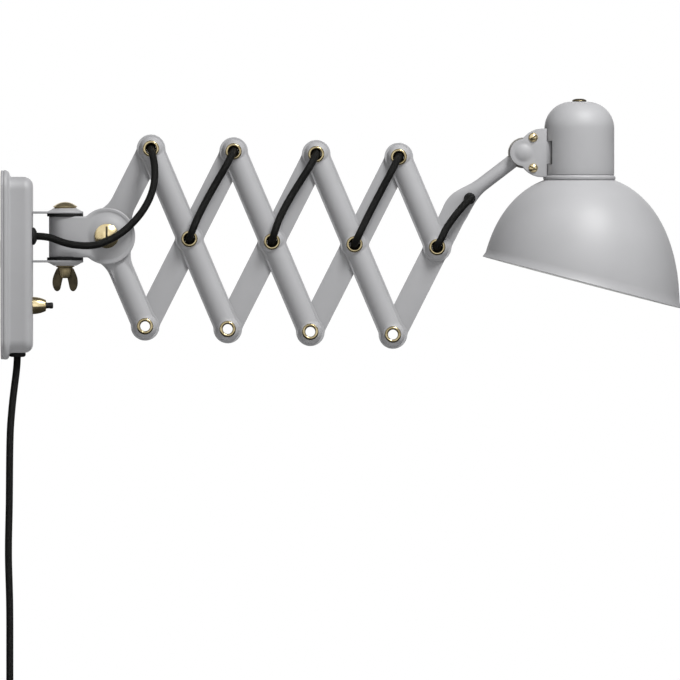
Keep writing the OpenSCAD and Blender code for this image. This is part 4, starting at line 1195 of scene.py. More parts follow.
@dataclass(frozen=True)
class MainsCord:
    """The mains lead, in metres as in the source: it hangs, then lies in a tied coil that ends in a plug."""

    radius: float = 0.0039
    coil_x: float = 0.009
    coil_z: float = -0.506
    coil_radius: float = 0.0515
    coil_gap: float = 0.0005
    coil_turns: int = 6
    coil_rings: int = 36
    tail: float = 0.048
    stub: Point = (0.017, 0, -0.091)
    route: tuple[Point, ...] = (
        (0.017, 0, -0.0985), (0.0166, 0, -0.107), (0.0156, 0, -0.117), (0.0142, 0, -0.128),
        (0.0124, 0, -0.143), (0.0109, 0, -0.158), (0.0097, 0, -0.174), (0.0091, 0, -0.192),
        (0.0088, 0, -0.212), (0.0086, 0, -0.234), (0.0084, 0, -0.256), (0.008, 0, -0.276),
        (0.0076, 0, -0.296), (0.0076, 0, -0.316), (0.0082, 0, -0.338), (0.0088, 0, -0.36),
        (0.009, 0, -0.382), (0.009, 0, -0.404), (0.009, 0, -0.426), (0.009, 0, -0.448), (0.009, 0, -0.47),
        (0.009, 0, -0.492), (0.009, 0, -0.498),
    )

    def coil(self) -> list[Point]:
        """Points of the coil: a steady spiral in, then out, one layer on.

        Returns:
            The points, in metres.
        """
        step = 2 * self.radius + self.coil_gap
        total = 360 * self.coil_turns
        points = []
        for i in range(self.coil_rings * self.coil_turns + 1):
            a = 360 * i / self.coil_rings
            r = self.coil_radius - step * min(a, total - a) / 360
            s = min(1, max(0, (a - total / 2 + 90) / 180))
            lift = step * s * s * (3 - 2 * s)
            points.append((self.coil_x + lift, -self.coil_radius + r * cosd(a), self.coil_z - r * sind(a)))
        return points

    def middle_line(self) -> list[Point]:
        """The whole lead's middle line, from the grommet to the plug.

        Returns:
            The points, in metres.
        """
        coil = self.coil()
        end = coil[-1]
        tail = [(end[0], end[1], end[2] - self.tail * k / 6) for k in range(1, 7)]
        return [tuple(p) for p in smooth_route(self.route, 3)] + coil + tail

    def build(self) -> Piece:
        """Returns:
            The lead.
        """
        line = self.middle_line()
        drawn = [self.stub] + line
        draft = Draft().tube([tuple(c / MM for c in p) for p in drawn], self.radius / MM, 20, (1, 0.2, 0))
        lead = draft.made("mains_lead_braid", Look.BRAID)
        on_body(lead, "wall_base", "mains_lead", "mains_coil")
        length = sum(math.dist(a, b) for a, b in zip(drawn, drawn[1:]))
        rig.cord(
            lead,
            exit=self.route[0],
            length=round(length, 3),
            diameter=2 * self.radius,
            far_end="plug",
            stiffness="medium",
            lay="hanging",
            path=drawn,
            with_pieces=MainsFittings().build(),
        )
        return lead


@dataclass(frozen=True)
class LampLead:
    """The lamp lead, woven through the hollow pivots in pieces that each follow one arm."""

    radius: float = 3.9
    roll: float = 1.8
    sides: int = 18
    wall_route: tuple[Point, ...] = (
        (35.4, -29, 30.6), (44, -29, 30.3), (53, -28.5, 28.9), (61, -27.5, 26), (69, -26.5, 23.3),
        (77, -26, 21.6), (84, -25.5, 20.8), (91, -25.5, 20.4), (98, -25.5, 20.8), (105, -25.5, 22.2),
        (112, -25.5, 25.2),
    )
    base_route: tuple[Point, ...] = (
        (112, -25.5, 25.2), (119, -25.5, 28.2), (127, -25.5, 33), (135.5, -25.5, 39.7), (143, -25.5, 47.2),
        (149.5, -25.5, 55), (155, -25.5, 63.5), (159, -25.5, 71.5), (162, -25.3, 80), (163.8, -25, 88.5),
        (164.4, -24.5, 97), (164.2, -23.2, 104.6), (163.2, -20.6, 111.8), (161.9, -16.6, 117.9),
        (160.6, -11.5, 122.9), (160.1, -6, 124.3), (160.1, 0, 124.3),
    )
    leg_shares: tuple[Point, ...] = (
        (0, 0, 0), (0, 0.35, 0), (0.015, 0.66, 0.1), (0.06, 0.9, 0.3), (0.13, 1, 0.6), (0.22, 0.96, 0.9),
        (0.34, 0.84, 1), (0.5, 0.76, 0.85), (0.66, 0.84, 0.5), (0.78, 0.96, 0.2), (0.87, 1, 0),
        (0.94, 0.9, 0), (0.985, 0.66, 0), (1, 0.35, 0), (1, 0, 0),
    )
    back_shares: tuple[Point, ...] = (
        (0, 0, 0), (0, 0.15, 0), (-0.004, 0.3, 0), (-0.011, 0.5, 0), (-0.026, 0.72, 0), (-0.02, 0.9, 0),
        (0.03, 1, 0), (0.12, 1, 0), (0.24, 0.92, 0), (0.37, 0.82, 0), (0.5, 0.78, 0), (0.63, 0.82, 0),
        (0.76, 0.92, 0), (0.88, 1, 0), (0.97, 1, 0), (1.02, 0.9, 0), (1.026, 0.72, 0), (1.011, 0.5, 0),
        (1.004, 0.3, 0), (1, 0.15, 0), (1, 0, 0),
    )
    end_shares: tuple[Point, ...] = (
        (0, 0, 0), (0, 0.35, 0), (0.015, 0.64, 0.1), (0.07, 0.84, 0.3), (0.2, 0.9, 0.6), (0.34, 0.84, 1),
        (0.5, 0.78, 1), (0.66, 0.76, 0.8), (0.8, 0.72, 0.5), (0.9, 0.64, 0.2), (0.97, 0.5, 0), (1, 0.34, 0),
        (1, 0.22, 0),
    )
    bulges: Point = (2.4, 4.2, 0.8)
    end_bulge: float = 3.0
    pressed: float = 1.2
    pressed_run: float = 3.0

    def leg(self, start: np.ndarray, end: np.ndarray, layer: Layer, bulge: float,
            shares: Route) -> list[Point]:
        """Route from one pivot to another, in shares of its run, rise and side bulge.

        Args:
            start: the first pivot, as (X, Z).
            end: the last one.
            layer: the side that the lead runs on.
            bulge: how far it bows aside.
            shares: its points, in shares of run, rise and bow.

        Returns:
            The route.
        """
        rise = LINKAGE.boss_y + self.roll + 2 * self.radius
        run = end - start
        across = np.array([-run[1], run[0]]) / np.linalg.norm(run)
        route = []
        for s, up, out in shares:
            flat = start + run * s + across * bulge * out
            route.append((flat[0], layer.value * rise * up, flat[1]))
        return route

    def bunched(self, at: Point) -> float:
        """What the braid's radius gains inside a pivot, where the lead is pushed together."""
        deep = (LINKAGE.boss_y + self.roll - abs(at[1])) / self.pressed_run
        return self.pressed * min(max(deep, 0.0), 1.0)

    def piece(self, name: str, route: Route, free: bool = False) -> Piece:
        """Makes one piece of the lead along a route; a free one keeps its radius all along.

        Args:
            name: the piece's name.
            route: its route.
            free: whether it keeps its radius all along.

        Returns:
            The piece.
        """
        swell = None if free else self.bunched
        draft = Draft().tube(smooth_route(route, 5), self.radius, self.sides, (0.3, 0.2, 1), swell)
        return draft.made(name, Look.BRAID)

    def free_piece(self, name: str, route: Route, bodies: tuple[str, str], node: str,
                   bend: tuple[Point, Point]) -> Piece:
        """Args:
            name: the piece's name.
            route: its route.
            bodies: the bodies at its start and its end.
            node: the CAD node that it replaces.
            bend: places where the bend starts and ends.

        Returns:
            The piece.
        """
        line = [tuple(c * MM for c in p) for p in smooth_route(route, 5)]
        piece = self.piece(name, route, free=True)
        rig.cord(
            piece,
            exit=line[0],
            length=round(sum(math.dist(a, b) for a, b in zip(line, line[1:])), 3),
            diameter=2 * self.radius * MM,
            far_end="object",
            stiffness="medium",
            lay="loose",
            path=line,
        )
        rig.replaces(piece, node)
        start, end = ([c * MM for c in p] for p in bend)
        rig.blend(piece, bodies[0], bodies[1], start=start, end=end)
        LOG.info("%s bends between %s and %s", name, *bodies)
        return piece

    def build(self) -> None:
        """Makes all pieces of the lead."""
        self.free_piece("lead_from_box", self.wall_route, ("wall_base", "knuckle"), "lead_wall",
                        ((42, -29, 30), (100, -26, 22)))
        self.free_piece("lead_over_hub", self.base_route, ("hub", "upper_base_arm"), "lead_base",
                        ((112, -25, 25), (150, -25, 56)))
        for i in range(4):
            route = self.leg(LINKAGE.top(i), LINKAGE.centre(i + 1), Layer.REAR, 0, self.back_shares)
            body = f"front_arm_{i + 1}" if i < 3 else "front_end_arm"
            on_body(self.piece(f"lead_behind_{i + 1}", route), body, f"lead_back_{i + 1}")
        for i in range(3):
            route = self.leg(LINKAGE.centre(i + 1), LINKAGE.top(i + 1), Layer.FRONT, self.bulges[i],
                             self.leg_shares)
            on_body(self.piece(f"lead_before_{i + 1}", route), f"back_arm_{i + 1}", f"lead_front_{i + 1}")
        end = LampArm().bushing_place()
        route = self.leg(LINKAGE.centre(4), end, Layer.FRONT, self.end_bulge, self.end_shares)
        on_body(self.piece("lead_into_tube", route), "lamp_arm", "lead_end")


# Arms


@dataclass(frozen=True)
class Boss:
    """A round boss of an arm: its place along the arm, its radius and the fillets beside it."""

    place: float
    radius: float = 15.3
    fillet: float = 12.0
    before: bool = True
    after: bool = True


@dataclass(frozen=True)
class ArmShape:
    """A half-round bar with a flat border, and domed bosses at its pivots."""

    width: float = 27.0
    crown: float = 7.4
    border: float = 2.3
    border_h: float = 1.5
    edge_round: float = 0.5
    seat: float = 8.6
    step: float = 5.0
    crown_steps: int = 14
    hub_from: float = 20.0
    hub_flat: float = 0.86
    hub_run: float = 1.44
    dome_power: float = 1.6
    cut: Pair = (-5.0, 15.0)
    tool_sides: int = 48

    def upper_edge(self, boss: Boss) -> Outline:
        """Upper outline round one boss.

        Args:
            boss: the boss.

        Returns:
            The outline, from left to right.
        """
        x, r, f, w = boss.place, boss.radius, boss.fillet, self.width / 2
        reach = math.sqrt((r + f) ** 2 - (w + f) ** 2)
        turn = math.degrees(math.atan2(w + f, reach))
        before = arc((x - reach, w + f), f, 270, 360 - turn, 8) if boss.before else [(x - r, 0.0)]
        after = arc((x + reach, w + f), f, 180 + turn, 270, 8) if boss.after else [(x + r, 0.0)]
        middle = arc((x, 0), r, 180 - turn if boss.before else 180, turn if boss.after else 0, 30)
        return before + middle[1:-1] + after

    def outline(self, bosses: Sequence[Boss], tail: float) -> Outline:
        """Closed outline, anticlockwise, with points along the straight runs too.

        Args:
            bosses: the arm's bosses, in order.
            tail: where a bar without a last boss ends, or 0.

        Returns:
            The outline.
        """
        upper: Outline = []
        for boss in bosses:
            for p in self.upper_edge(boss):
                if upper and p[0] - upper[-1][0] > self.step:
                    x0 = upper[-1][0]
                    gap = p[0] - x0
                    count = int(gap / self.step)
                    upper += [(x0 + gap * k / (count + 1), self.width / 2) for k in range(1, count + 1)]
                upper.append(p)
        if tail > 0:
            count = int((tail - upper[-1][0]) / self.step)
            x0 = upper[-1][0]
            upper += [(x0 + (tail - x0) * k / (count + 1), self.width / 2) for k in range(1, count + 2)]
        lower = [(x, -y) for x, y in reversed(upper) if y > 1e-9]
        return (upper + lower)[::-1]

    def height(self, p: np.ndarray, inset: float, reach: float, bosses: Sequence[Boss]) -> float:
        """Height of the top face at a point.

        Args:
            p: the point in the arm's plane.
            inset: its distance from the outline.
            reach: the outline's distance from the arm's middle line there.
            bosses: the arm's bosses.

        Returns:
            The height over the flat face.
        """
        if inset <= self.border:
            if inset < self.edge_round:
                drop = self.edge_round - inset
                return self.border_h - self.edge_round + math.sqrt(max(self.edge_round**2 - drop**2, 0))
            return self.border_h
        rise = self.crown - self.border_h
        half = self.width / 2 - self.border
        radius = (half**2 + rise**2) / (2 * rise)
        share = (reach - inset) / max(reach - self.border, 1e-6)
        best = self.border_h + math.sqrt(radius**2 - (share * half) ** 2) - (radius - rise)
        for boss in bosses:
            away = math.hypot(p[0] - boss.place, p[1])
            if boss.radius > self.hub_from:
                past = max(away - self.hub_flat * boss.radius, 0)
                hub = self.crown - past * self.crown / (self.hub_run * boss.radius)
                best = max(best, min(hub, self.crown))
                continue
            foot = boss.radius - self.border
            if away >= foot:
                continue
            s = max(0.0, (away - self.seat) / (foot - self.seat))
            best = max(best, self.border_h + (LINKAGE.arm_t - self.border_h) * (1 - s**self.dome_power))
        return best

    def draft(self, bosses: Sequence[Boss], place: Matrix, tail: float = 0.0) -> Draft:
        """Closed skin of an arm.

        Args:
            bosses: the arm's bosses, in order.
            place: puts the arm in its layer.
            tail: where a bar without a last boss ends, or 0.

        Returns:
            The draft.
        """
        edge = [np.array(p) for p in self.outline(bosses, tail)]
        first, last = bosses[0].place, tail if tail > 0 else bosses[-1].place
        spine = [np.array([min(max(p[0], first), last), 0.0]) for p in edge]
        reaches = [float(np.linalg.norm(s - p)) for p, s in zip(edge, spine)]
        near = [0.0, 0.12, 0.3, self.edge_round, self.border - 0.35, self.border, self.border + 0.35]
        rings = [[(*s, 0.0) for s in spine], [(*(p + (s - p) * 0.02), 0.0) for p, s in zip(edge, spine)]]
        rings.append([(*p, 0.15) for p in edge])
        levels = [(inset, 0) for inset in near] + [(near[-1], k) for k in range(1, self.crown_steps + 1)]
        for start, k in levels:
            ring = []
            for p, s, reach in zip(edge, spine, reaches):
                inset = start + max(reach - start, 0) * k / self.crown_steps
                here = p + (s - p) * min(inset / max(reach, 1e-9), 1)
                ring.append((*here, self.height(here, min(inset, reach), reach, bosses)))
            rings.append(ring)
        return Draft().skin(rings, capped=False, place=place)

    def bores(self, places: Sequence[float], radius: float, place: Matrix) -> Draft:
        """Cutters for the pivot bores.

        Args:
            places: places along the arm.
            radius: the bores' radius.
            place: puts the arm in its layer.

        Returns:
            The cutters.
        """
        tool = Draft()
        for x in places:
            tool.rod(radius, *self.cut, place @ Matrix.Translation((x, 0, 0)), self.tool_sides)
        return tool


@dataclass(frozen=True)
class ScissorArms:
    """The arms of the scissor, each a replacement of its CAD node."""

    shape: ArmShape = ArmShape()
    bore: float = 6.4
    hub_radius: float = 29.0
    hub_fillet: float = 30.0
    hub_bore: float = 6.1

    def arm(self, name: str, node: str, start: np.ndarray, angle: float, layer: Layer,
            count: int = 3) -> None:
        """Makes one arm with two or three bosses.

        Args:
            name: the piece's name.
            node: the CAD node and the body, which share a name.
            start: the first pivot, as (X, Z).
            angle: the arm's direction, in degrees.
            layer: its layer.
            count: how many bosses it has.
        """
        bosses = [Boss(LINKAGE.link * k, before=k > 0, after=k < count - 1) for k in range(count)]
        place = in_arm_plane(start, angle, layer)
        piece = self.shape.draft(bosses, place).made(name, Look.COAT)
        bored(piece, self.shape.bores([b.place for b in bosses], self.bore, place))
        on_body(piece, node, node)

    def base_arm(self, name: str, node: str, angle: float, layer: Layer) -> None:
        """Makes one arm that grows out of a round hub.

        Args:
            name: the piece's name.
            node: the CAD node and the body, which share a name.
            angle: the arm's direction, in degrees.
            layer: its layer.
        """
        bosses = [Boss(0, self.hub_radius, self.hub_fillet, False, True), Boss(LINKAGE.link, after=False)]
        place = in_arm_plane(LINKAGE.hub, angle, layer)
        piece = self.shape.draft(bosses, place).made(name, Look.COAT)
        tool = self.shape.bores([LINKAGE.link], self.bore, place)
        tool.rod(self.hub_bore, *self.shape.cut, place, self.shape.tool_sides)
        on_body(bored(piece, tool), node, node)

    def build(self) -> None:
        """Makes every arm except the lamp arm."""
        self.base_arm("base_arm_rising", "upper_base_arm", LINKAGE.rise, Layer.REAR)
        self.base_arm("base_arm_falling", "lower_base_arm", LINKAGE.fall, Layer.FRONT)
        for i in (1, 2, 3):
            self.arm(f"arm_front_{i}", f"front_arm_{i}", LINKAGE.top(i - 1), LINKAGE.fall, Layer.FRONT)
            self.arm(f"arm_rear_{i}", f"back_arm_{i}", LINKAGE.low(i - 1), LINKAGE.rise, Layer.REAR)
        self.arm("arm_front_end", "front_end_arm", LINKAGE.top(3), LINKAGE.fall, Layer.FRONT, 2)


@dataclass(frozen=True)
class Eyelets:
    """Hollow brass pivots with both edges rolled, and the spacer rings between the layers."""

    bore: float = 5.2
    wall: float = 1.2
    roll: float = 1.8
    spacer: float = 11.5
    seat_gap: float = 0.05
    fit_gap: float = 0.3

    def profile(self) -> Outline:
        """Closed section of one eyelet, as (radius, height).

        Returns:
            The section.
        """
        top = LINKAGE.boss_y + self.seat_gap
        outer = self.bore + self.wall
        rolled = arc((self.bore + self.roll, top), self.roll, 0, 180, 14)
        half: Outline = [(outer, 0.0), (outer, top), *rolled, (self.bore, 0.0)]
        return half + [(r, -h) for r, h in reversed(half[1:-1])]

    def draft(self, places: Sequence[np.ndarray]) -> Draft:
        """Eyelets and spacers at some pivots.

        Args:
            places: the pivots, as (X, Z).

        Returns:
            The draft.
        """
        draft = Draft()
        for x, z in places:
            place = on_axis((x, 0, z), NEAR)
            draft.lathe(self.profile(), place, 56, loop=True)
            low, high = self.seat_gap - LINKAGE.face_y, LINKAGE.face_y - self.seat_gap
            inner = self.bore + self.wall + self.fit_gap
            draft.lathe([(inner, low), (self.spacer, low), (self.spacer, high), (inner, high)], place, 56,
                        loop=True)
        return draft

    def build(self) -> None:
        """Makes the eyelets of every arm that carries some."""
        top, low, centre = LINKAGE.top, LINKAGE.low, LINKAGE.centre
        sets = [("eyelet_base", "lower_base_arm", [low(0)]),
                ("eyelets_end", "front_end_arm", [top(3), centre(4)])]
        sets += [(f"eyelets_{i}", f"front_arm_{i}", [top(i - 1), centre(i), low(i)]) for i in (1, 2, 3)]
        for node, body, places in sets:
            on_body(self.draft(places).made(f"brass_{node}", Look.EYELET_BRASS), body, node)


@dataclass(frozen=True)
class LampArm:
    """The last rear arm: its bar is drawn round and bent to the ball."""

    shape: ArmShape = ArmShape()
    bore: float = 6.46
    tail_on: float = 16.0
    neck_back: float = 24.0
    neck_on: float = 30.0
    neck_delay: float = 0.2
    neck_full: float = 0.22
    neck_steps: int = 30
    tube_r: float = 7.5
    ball_r: float = 16.5
    bushing_share: float = 0.63
    bushing_side: float = 2.5
    bushing_r: float = 6.2
    bushing_h: float = 4.0
    bushing_bore: float = 4.2
    bushing_wall: float = 1.05
    cut_deep: float = 16.0
    bite: float = 0.2

    def neck_point(self, t: float) -> np.ndarray:
        """Middle line of the neck, from the bar to the tube.

        Args:
            t: share of the neck.

        Returns:
            The place, as (X, Z).
        """
        p0 = LINKAGE.bend - polar(LINKAGE.rise, self.neck_back)
        p2 = LINKAGE.bend + polar(LINKAGE.tube_angle, self.neck_on)
        return p0 * (1 - t) ** 2 + LINKAGE.bend * 2 * t * (1 - t) + p2 * t * t

    def neck_turn(self, t: float) -> float:
        """Direction of the neck, in degrees."""
        d = self.neck_point(t + 0.01) - self.neck_point(t - 0.01)
        return math.degrees(math.atan2(d[1], d[0]))

    def bushing_place(self) -> np.ndarray:
        """Place (X, Z) of the bushing where the lead enters the tube."""
        t = self.bushing_share
        return self.neck_point(t) + polar(self.neck_turn(t) - 90, self.bushing_side)

    def bar_section(self) -> list[Pair]:
        """Half of the bar's section, from its back middle to its crown: (across, height).

        Returns:
            The section.
        """
        s, half = self.shape, self.shape.width / 2
        points = [(half * k / 4, 0.0) for k in range(4)]
        points += [(half - 0.1, 0.0), (half, 0.15), (half, s.border_h - s.edge_round)]
        points += [(half - s.edge_round * 0.4, s.border_h - 0.1), (half - s.edge_round, s.border_h)]
        points += [(half - s.border, s.border_h)]
        rise, w = s.crown - s.border_h, half - s.border
        radius = (w**2 + rise**2) / (2 * rise)
        for k in range(1, 13):
            x = w * (1 - k / 12)
            points.append((x, s.border_h + math.sqrt(radius**2 - x * x) - (radius - rise)))
        return points

    def ring(self, t: float) -> list[Point]:
        """Section of the arm at one share of the neck, as points in space.

        Args:
            t: share of the neck.

        Returns:
            The section's points.
        """
        half = self.bar_section()
        full = half + [(-x, h) for x, h in reversed(half[1:-1])]
        lengths = [0.0]
        for a, b in zip(full, full[1:]):
            lengths.append(lengths[-1] + math.dist(a, b))
        total = lengths[-1] + math.dist(full[-1], full[0])
        e = min(max((t - self.neck_delay) / (1 - self.neck_delay), 0), 1)
        ease = e * e * (3 - 2 * e)
        full_side = 1 + self.neck_full * math.sin(math.pi * min(max(t, 0), 1)) ** 2
        middle, turn = self.neck_point(t), math.radians(self.neck_turn(t))
        out = []
        for (x, h), length in zip(full, lengths):
            a = -math.pi / 2 + 2 * math.pi * length / total
            rx, rh = self.tube_r * math.cos(a), LINKAGE.arm_t / 2 + self.tube_r * math.sin(a)
            s, up = x * (1 - ease) + rx * ease, h * (1 - ease) + rh * ease
            s *= full_side if s > 0 else 1
            out.append((middle[0] - s * math.sin(turn), LINKAGE.face_y + up, middle[1] + s * math.cos(turn)))
        return out

    def straight(self, ring: list[Point], angle: float, length: float) -> list[Point]:
        """The same ring, moved along a direction."""
        d = polar(angle, length)
        return [(p[0] + d[0], p[1], p[2] + d[1]) for p in ring]

    def build(self) -> None:
        """Makes the lamp arm and its bushing."""
        place = in_arm_plane(LINKAGE.low(3), LINKAGE.rise, Layer.REAR)
        link = LINKAGE.link
        bosses = [Boss(0, before=False), Boss(link)]
        tail = link + self.tail_on
        draft = self.shape.draft(bosses, place, tail)
        first = self.ring(0.0)
        start = LINKAGE.bar_past - self.neck_back - self.tail_on
        rings = [self.straight(first, LINKAGE.rise, -start)]
        rings += [self.ring(k / self.neck_steps) for k in range(self.neck_steps + 1)]
        tube = LINKAGE.tube_len - self.neck_on - math.sqrt(self.ball_r**2 - self.tube_r**2) + self.bite
        rings += [self.straight(rings[-1], LINKAGE.tube_angle, tube)]
        neck = Draft().skin(rings).made("neck_alone", Look.COAT)
        piece = joined(draft.made("lamp_arm_drawn", Look.COAT), neck)
        tool = self.shape.bores([0, link], self.bore, place)
        bush = self.bushing_place()
        tool.rod(self.bushing_bore + self.bushing_wall, 0, self.cut_deep,
                 on_axis((bush[0], LINKAGE.head_y, bush[1]), NEAR), 40)
        bored(piece, tool)
        on_body(piece, "lamp_arm", "lamp_arm")
        self.bushing(bush)

    def bushing(self, at: np.ndarray) -> None:
        """Makes the oval rubber bushing of the lead.

        Args:
            at: its place, as (X, Z).
        """
        y = self.ring(self.bushing_share)[0][1]
        r, h, b = self.bushing_r, self.bushing_h, self.bushing_bore
        profile = rounded([(b, -4), (b, h), (r - 1, h), (r, 1.6), (r, -0.6), (b + 1, -0.6), (b + 1, -4)],
                          [0, 0.7, 1.6, 1.2, 0.3, 0, 0], 4, True)
        draft = Draft().lathe(profile, on_axis((at[0], y, at[1]), NEAR), 48, loop=True)
        on_body(draft.made("tube_bushing", Look.RUBBER), "lamp_arm", "lead_bushing")


# Wall box


ON_WALL = Matrix(((0, 0, 1, 0), (1, 0, 0, 0), (0, 1, 0, 0), (0, 0, 0, 1)))
ON_BOX = Matrix(((0, 0, 1, 0), (0, 1, 0, 0), (1, 0, 0, 0), (0, 0, 0, 1)))


@dataclass(frozen=True)
class SlottedHead:
    """A screw's domed head with a slot, its shank behind it."""

    radius: float
    height: float
    shank: float
    length: float
    slot: float = 0.17
    depth: float = 0.55
    rim: float = 0.6
    steps: int = 14

    def profile(self) -> Outline:
        """Half section, from the top of the dome to the shank's end.

        Returns:
            The section.
        """
        ball = (self.radius**2 + (self.height - self.rim) ** 2) / (2 * (self.height - self.rim))
        half = math.degrees(math.asin(self.radius / ball))
        turns = [half * k / self.steps for k in range(self.steps + 1)]
        dome = [(ball * sind(a), self.height - ball + ball * cosd(a)) for a in turns]
        r, turned, end = self.radius, self.rim * 0.3, -self.length
        edge = rounded([dome[-1], (r, turned), (r - self.rim * 0.6, 0), (self.shank, 0)],
                       [0, turned, turned, 0], 3)
        return dome + edge[1:] + [(self.shank, end + 0.5), (self.shank - 0.5, end), (0, end)]

    def build(self, name: str, place: Matrix, turn: float) -> Piece:
        """Makes the screw.

        Args:
            name: the piece's name.
            place: puts the foot of the head in place, its height outwards.
            turn: angle of the slot, in degrees.

        Returns:
            The screw, its slot lined with near-black brass as painted shade.
        """
        piece = Draft().lathe(self.profile(), place, 72).made(name, Look.BRASS, Look.SLOT_SHADE_BRASS)
        half, low = self.slot * self.radius / 2, self.height * (1 - self.depth)
        spin = place @ Matrix.Rotation(math.radians(turn), 4, "Z")
        tool = Draft().prism(rect(-half, half, -2 * self.radius, 2 * self.radius), low, 2 * self.height, spin)
        # The slot's cut faces take near-black brass: painted shade in the slot.
        return bored(piece, tool, Look.SLOT_SHADE_BRASS)


@dataclass(frozen=True)
class WallBox:
    """The pressed cover with its rolled foot, its back plate, screws and what sits inside."""

    half_w: float = 48.0
    half_h: float = 94.0
    depth: float = 33.3
    wall: float = 1.2
    corner: float = 14.0
    edge: float = 9.0
    foot: Profile = (
        (6.3, 0), (6.8, 0.4), (7, 1.1), (6.9, 1.7), (6.45, 2.2), (6.5, 2.7), (7, 3.2), (7.2, 4.2),
        (7.1, 5.4), (6.6, 6.4), (5.5, 7.3), (4, 8), (2.4, 8.5), (1.2, 9.1), (0.4, 10), (0, 11.4),
    )
    plate: float = 2.0
    wall_screw_span: float = 120.0
    lug_y: float = 30.0
    screw_x: float = 13.0
    lead: Pair = (-29.0, 30.6)
    mains_x: float = 17.0
    switch_z: float = -43.4
    lead_hole: float = 6.55
    switch_hole: float = 5.05
    mains_hole: float = 7.05
    screw_hole: float = 3.25
    screw_bore: float = 1.75
    cut: float = 9.0
    lug_cut: float = 4.0
    plate_gap: float = 0.25
    lug: Profile = ((1, -7), (18, -7), (20, -5), (20, 5), (18, 7), (1, 7))
    wall_hole: Profile = ((0, -1), (2.5, -1), (2.5, 0.9), (4.6, 2.2), (4.6, 4), (0, 4))
    cable_hole: tuple[float, float, float, float] = (11, 15, 6, 12)
    block_at: Pair = (-26, 62)
    block_half: Pair = (17, 8.5)
    block_h: float = 10.0
    block_pitch: float = 11.3
    terminal: Profile = ((0, 10), (0, 9), (4.6, 9), (4.6, 14), (2.6, 14), (2.6, 11), (0, 11))
    bar_z: float = -76.0
    switch_deep: float = 20.0

    def ring(self, out: float, x: float) -> list[Point]:
        """Section of the box at a distance from the wall, grown by a margin."""
        outline = rounded_rect(self.half_w + out, self.half_h + out, self.corner + out, 10)
        return [(x, y, z) for y, z in outline]

    def cover(self) -> Piece:
        """Makes the cover as one closed sheet.

        Returns:
            The cover.
        """
        inner = self.depth - self.wall
        e = self.edge - self.wall
        rings = [self.ring(-self.wall - e * (1 - cosd(a)), inner - e + e * sind(a))
                 for a in range(90, -1, -15)]
        rings += [self.ring(-self.wall, 12.0), self.ring(0.9, 7.4), self.ring(3.4, 5.4), self.ring(5.2, 3.6),
                  self.ring(4.7, 0.0)]
        rings += [self.ring(out, x) for out, x in self.foot]
        e = self.edge
        rings += [self.ring(-e * (1 - cosd(a)), self.depth - e + e * sind(a))
                  for a in range(0, 91, 9)]
        piece = Draft().skin(rings).made("box_cover", Look.COAT)
        tool = Draft()
        for y, z, r in ((*self.lead, self.lead_hole), (0, self.switch_z, self.switch_hole)):
            tool.rod(r, -self.cut, self.cut, on_axis((self.depth, y, z), OUT), 40)
        tool.rod(self.mains_hole, -self.cut, self.cut, on_axis((self.mains_x, 0, -self.half_h), DOWN), 40)
        for side in (-1, 1):
            at = (self.screw_x, side * self.lug_y, -self.half_h)
            tool.rod(self.screw_hole, -self.lug_cut, self.lug_cut, on_axis(at, DOWN), 28)
        return on_body(bored(piece, tool), "wall_base", "wall_cover")

    def back(self) -> None:
        """Makes the back plate with its lugs, wall screw holes and cable hole."""
        outline = rounded_rect(self.half_w - self.plate_gap, self.half_h - self.plate_gap, self.corner, 8)
        draft = Draft().prism(outline, 0, self.plate, ON_WALL)
        for side in (-1, 1):
            foot = Matrix.Translation((0, side * self.lug_y, self.wall + 0.05 - self.half_h))
            draft.prism(self.lug, 0, self.plate, foot)
        piece = bevelled(draft.made("box_back_plate", Look.COAT), 0.4, 2)
        tool = Draft()
        for side in (-1, 1):
            tool.lathe(self.wall_hole, on_axis((0, 0, side * self.wall_screw_span / 2), OUT), 32)
            at = (self.screw_x, side * self.lug_y, self.wall - self.half_h)
            tool.rod(self.screw_bore, -self.lug_cut, 6, on_axis(at, UP), 20)
        half_w, half_h, corner, up = self.cable_hole
        tool.prism(rounded_rect(half_w, half_h, corner, 5), -1, 4, ON_WALL @ Matrix.Translation((0, up, 0)))
        on_body(bored(piece, tool), "wall_base", "back_plate")

    def inside(self) -> None:
        """Makes the terminal block, the cord clamp and the switch's body."""
        at = ON_WALL @ Matrix.Translation((*self.block_at, self.plate))
        half, deep = self.block_half
        draft = Draft().prism(rect(-half, half, -deep, deep), 0, self.block_h, at)
        for i in (-1, 0, 1):
            draft.lathe(self.terminal, at @ Matrix.Translation((i * self.block_pitch, 0, 0)), 28)
        draft.prism(rect(-13, 13, -4, 4), 0, 6, ON_WALL @ Matrix.Translation((0, self.bar_z, self.plate)))
        block = bevelled(draft.made("box_terminal_block", Look.WHITE_PLASTIC), 0.6, 2)
        on_body(block, "wall_base", "terminal_block")
        place = on_axis((self.depth - self.wall - self.switch_deep, 0, self.switch_z), OUT)
        body = Draft().prism(rect(-10, 10, -13, 13), 3, self.switch_deep - 0.1, place)
        body.prism(rect(-8, 8, -11, 11), 0, 3.5, place)
        piece = bevelled(body.made("box_switch_body", Look.BLACK_PLASTIC), 0.8, 2)
        room = SwitchSet().button_r + 0.15
        bored(piece, Draft().rod(room, self.switch_deep / 2, self.switch_deep + 4, place, 36))
        on_body(piece, "wall_base", "switch_body")

    def screws(self) -> None:
        """Makes the two cover screws, their slotted heads on the underside."""
        head = SlottedHead(3.1, 1.6, 1.6, 6.0, 0.26, 0.5, 0.4)
        for index, side in enumerate((-1, 1)):
            place = on_axis((self.screw_x, side * self.lug_y, -self.half_h + 1.3), DOWN)
            on_body(head.build(f"box_screw_{index + 1}", place, 20 + 50 * index), "wall_base", "cover_screws")

    def build(self) -> None:
        """Makes the whole box."""
        self.cover()
        self.back()
        self.inside()
        self.screws()


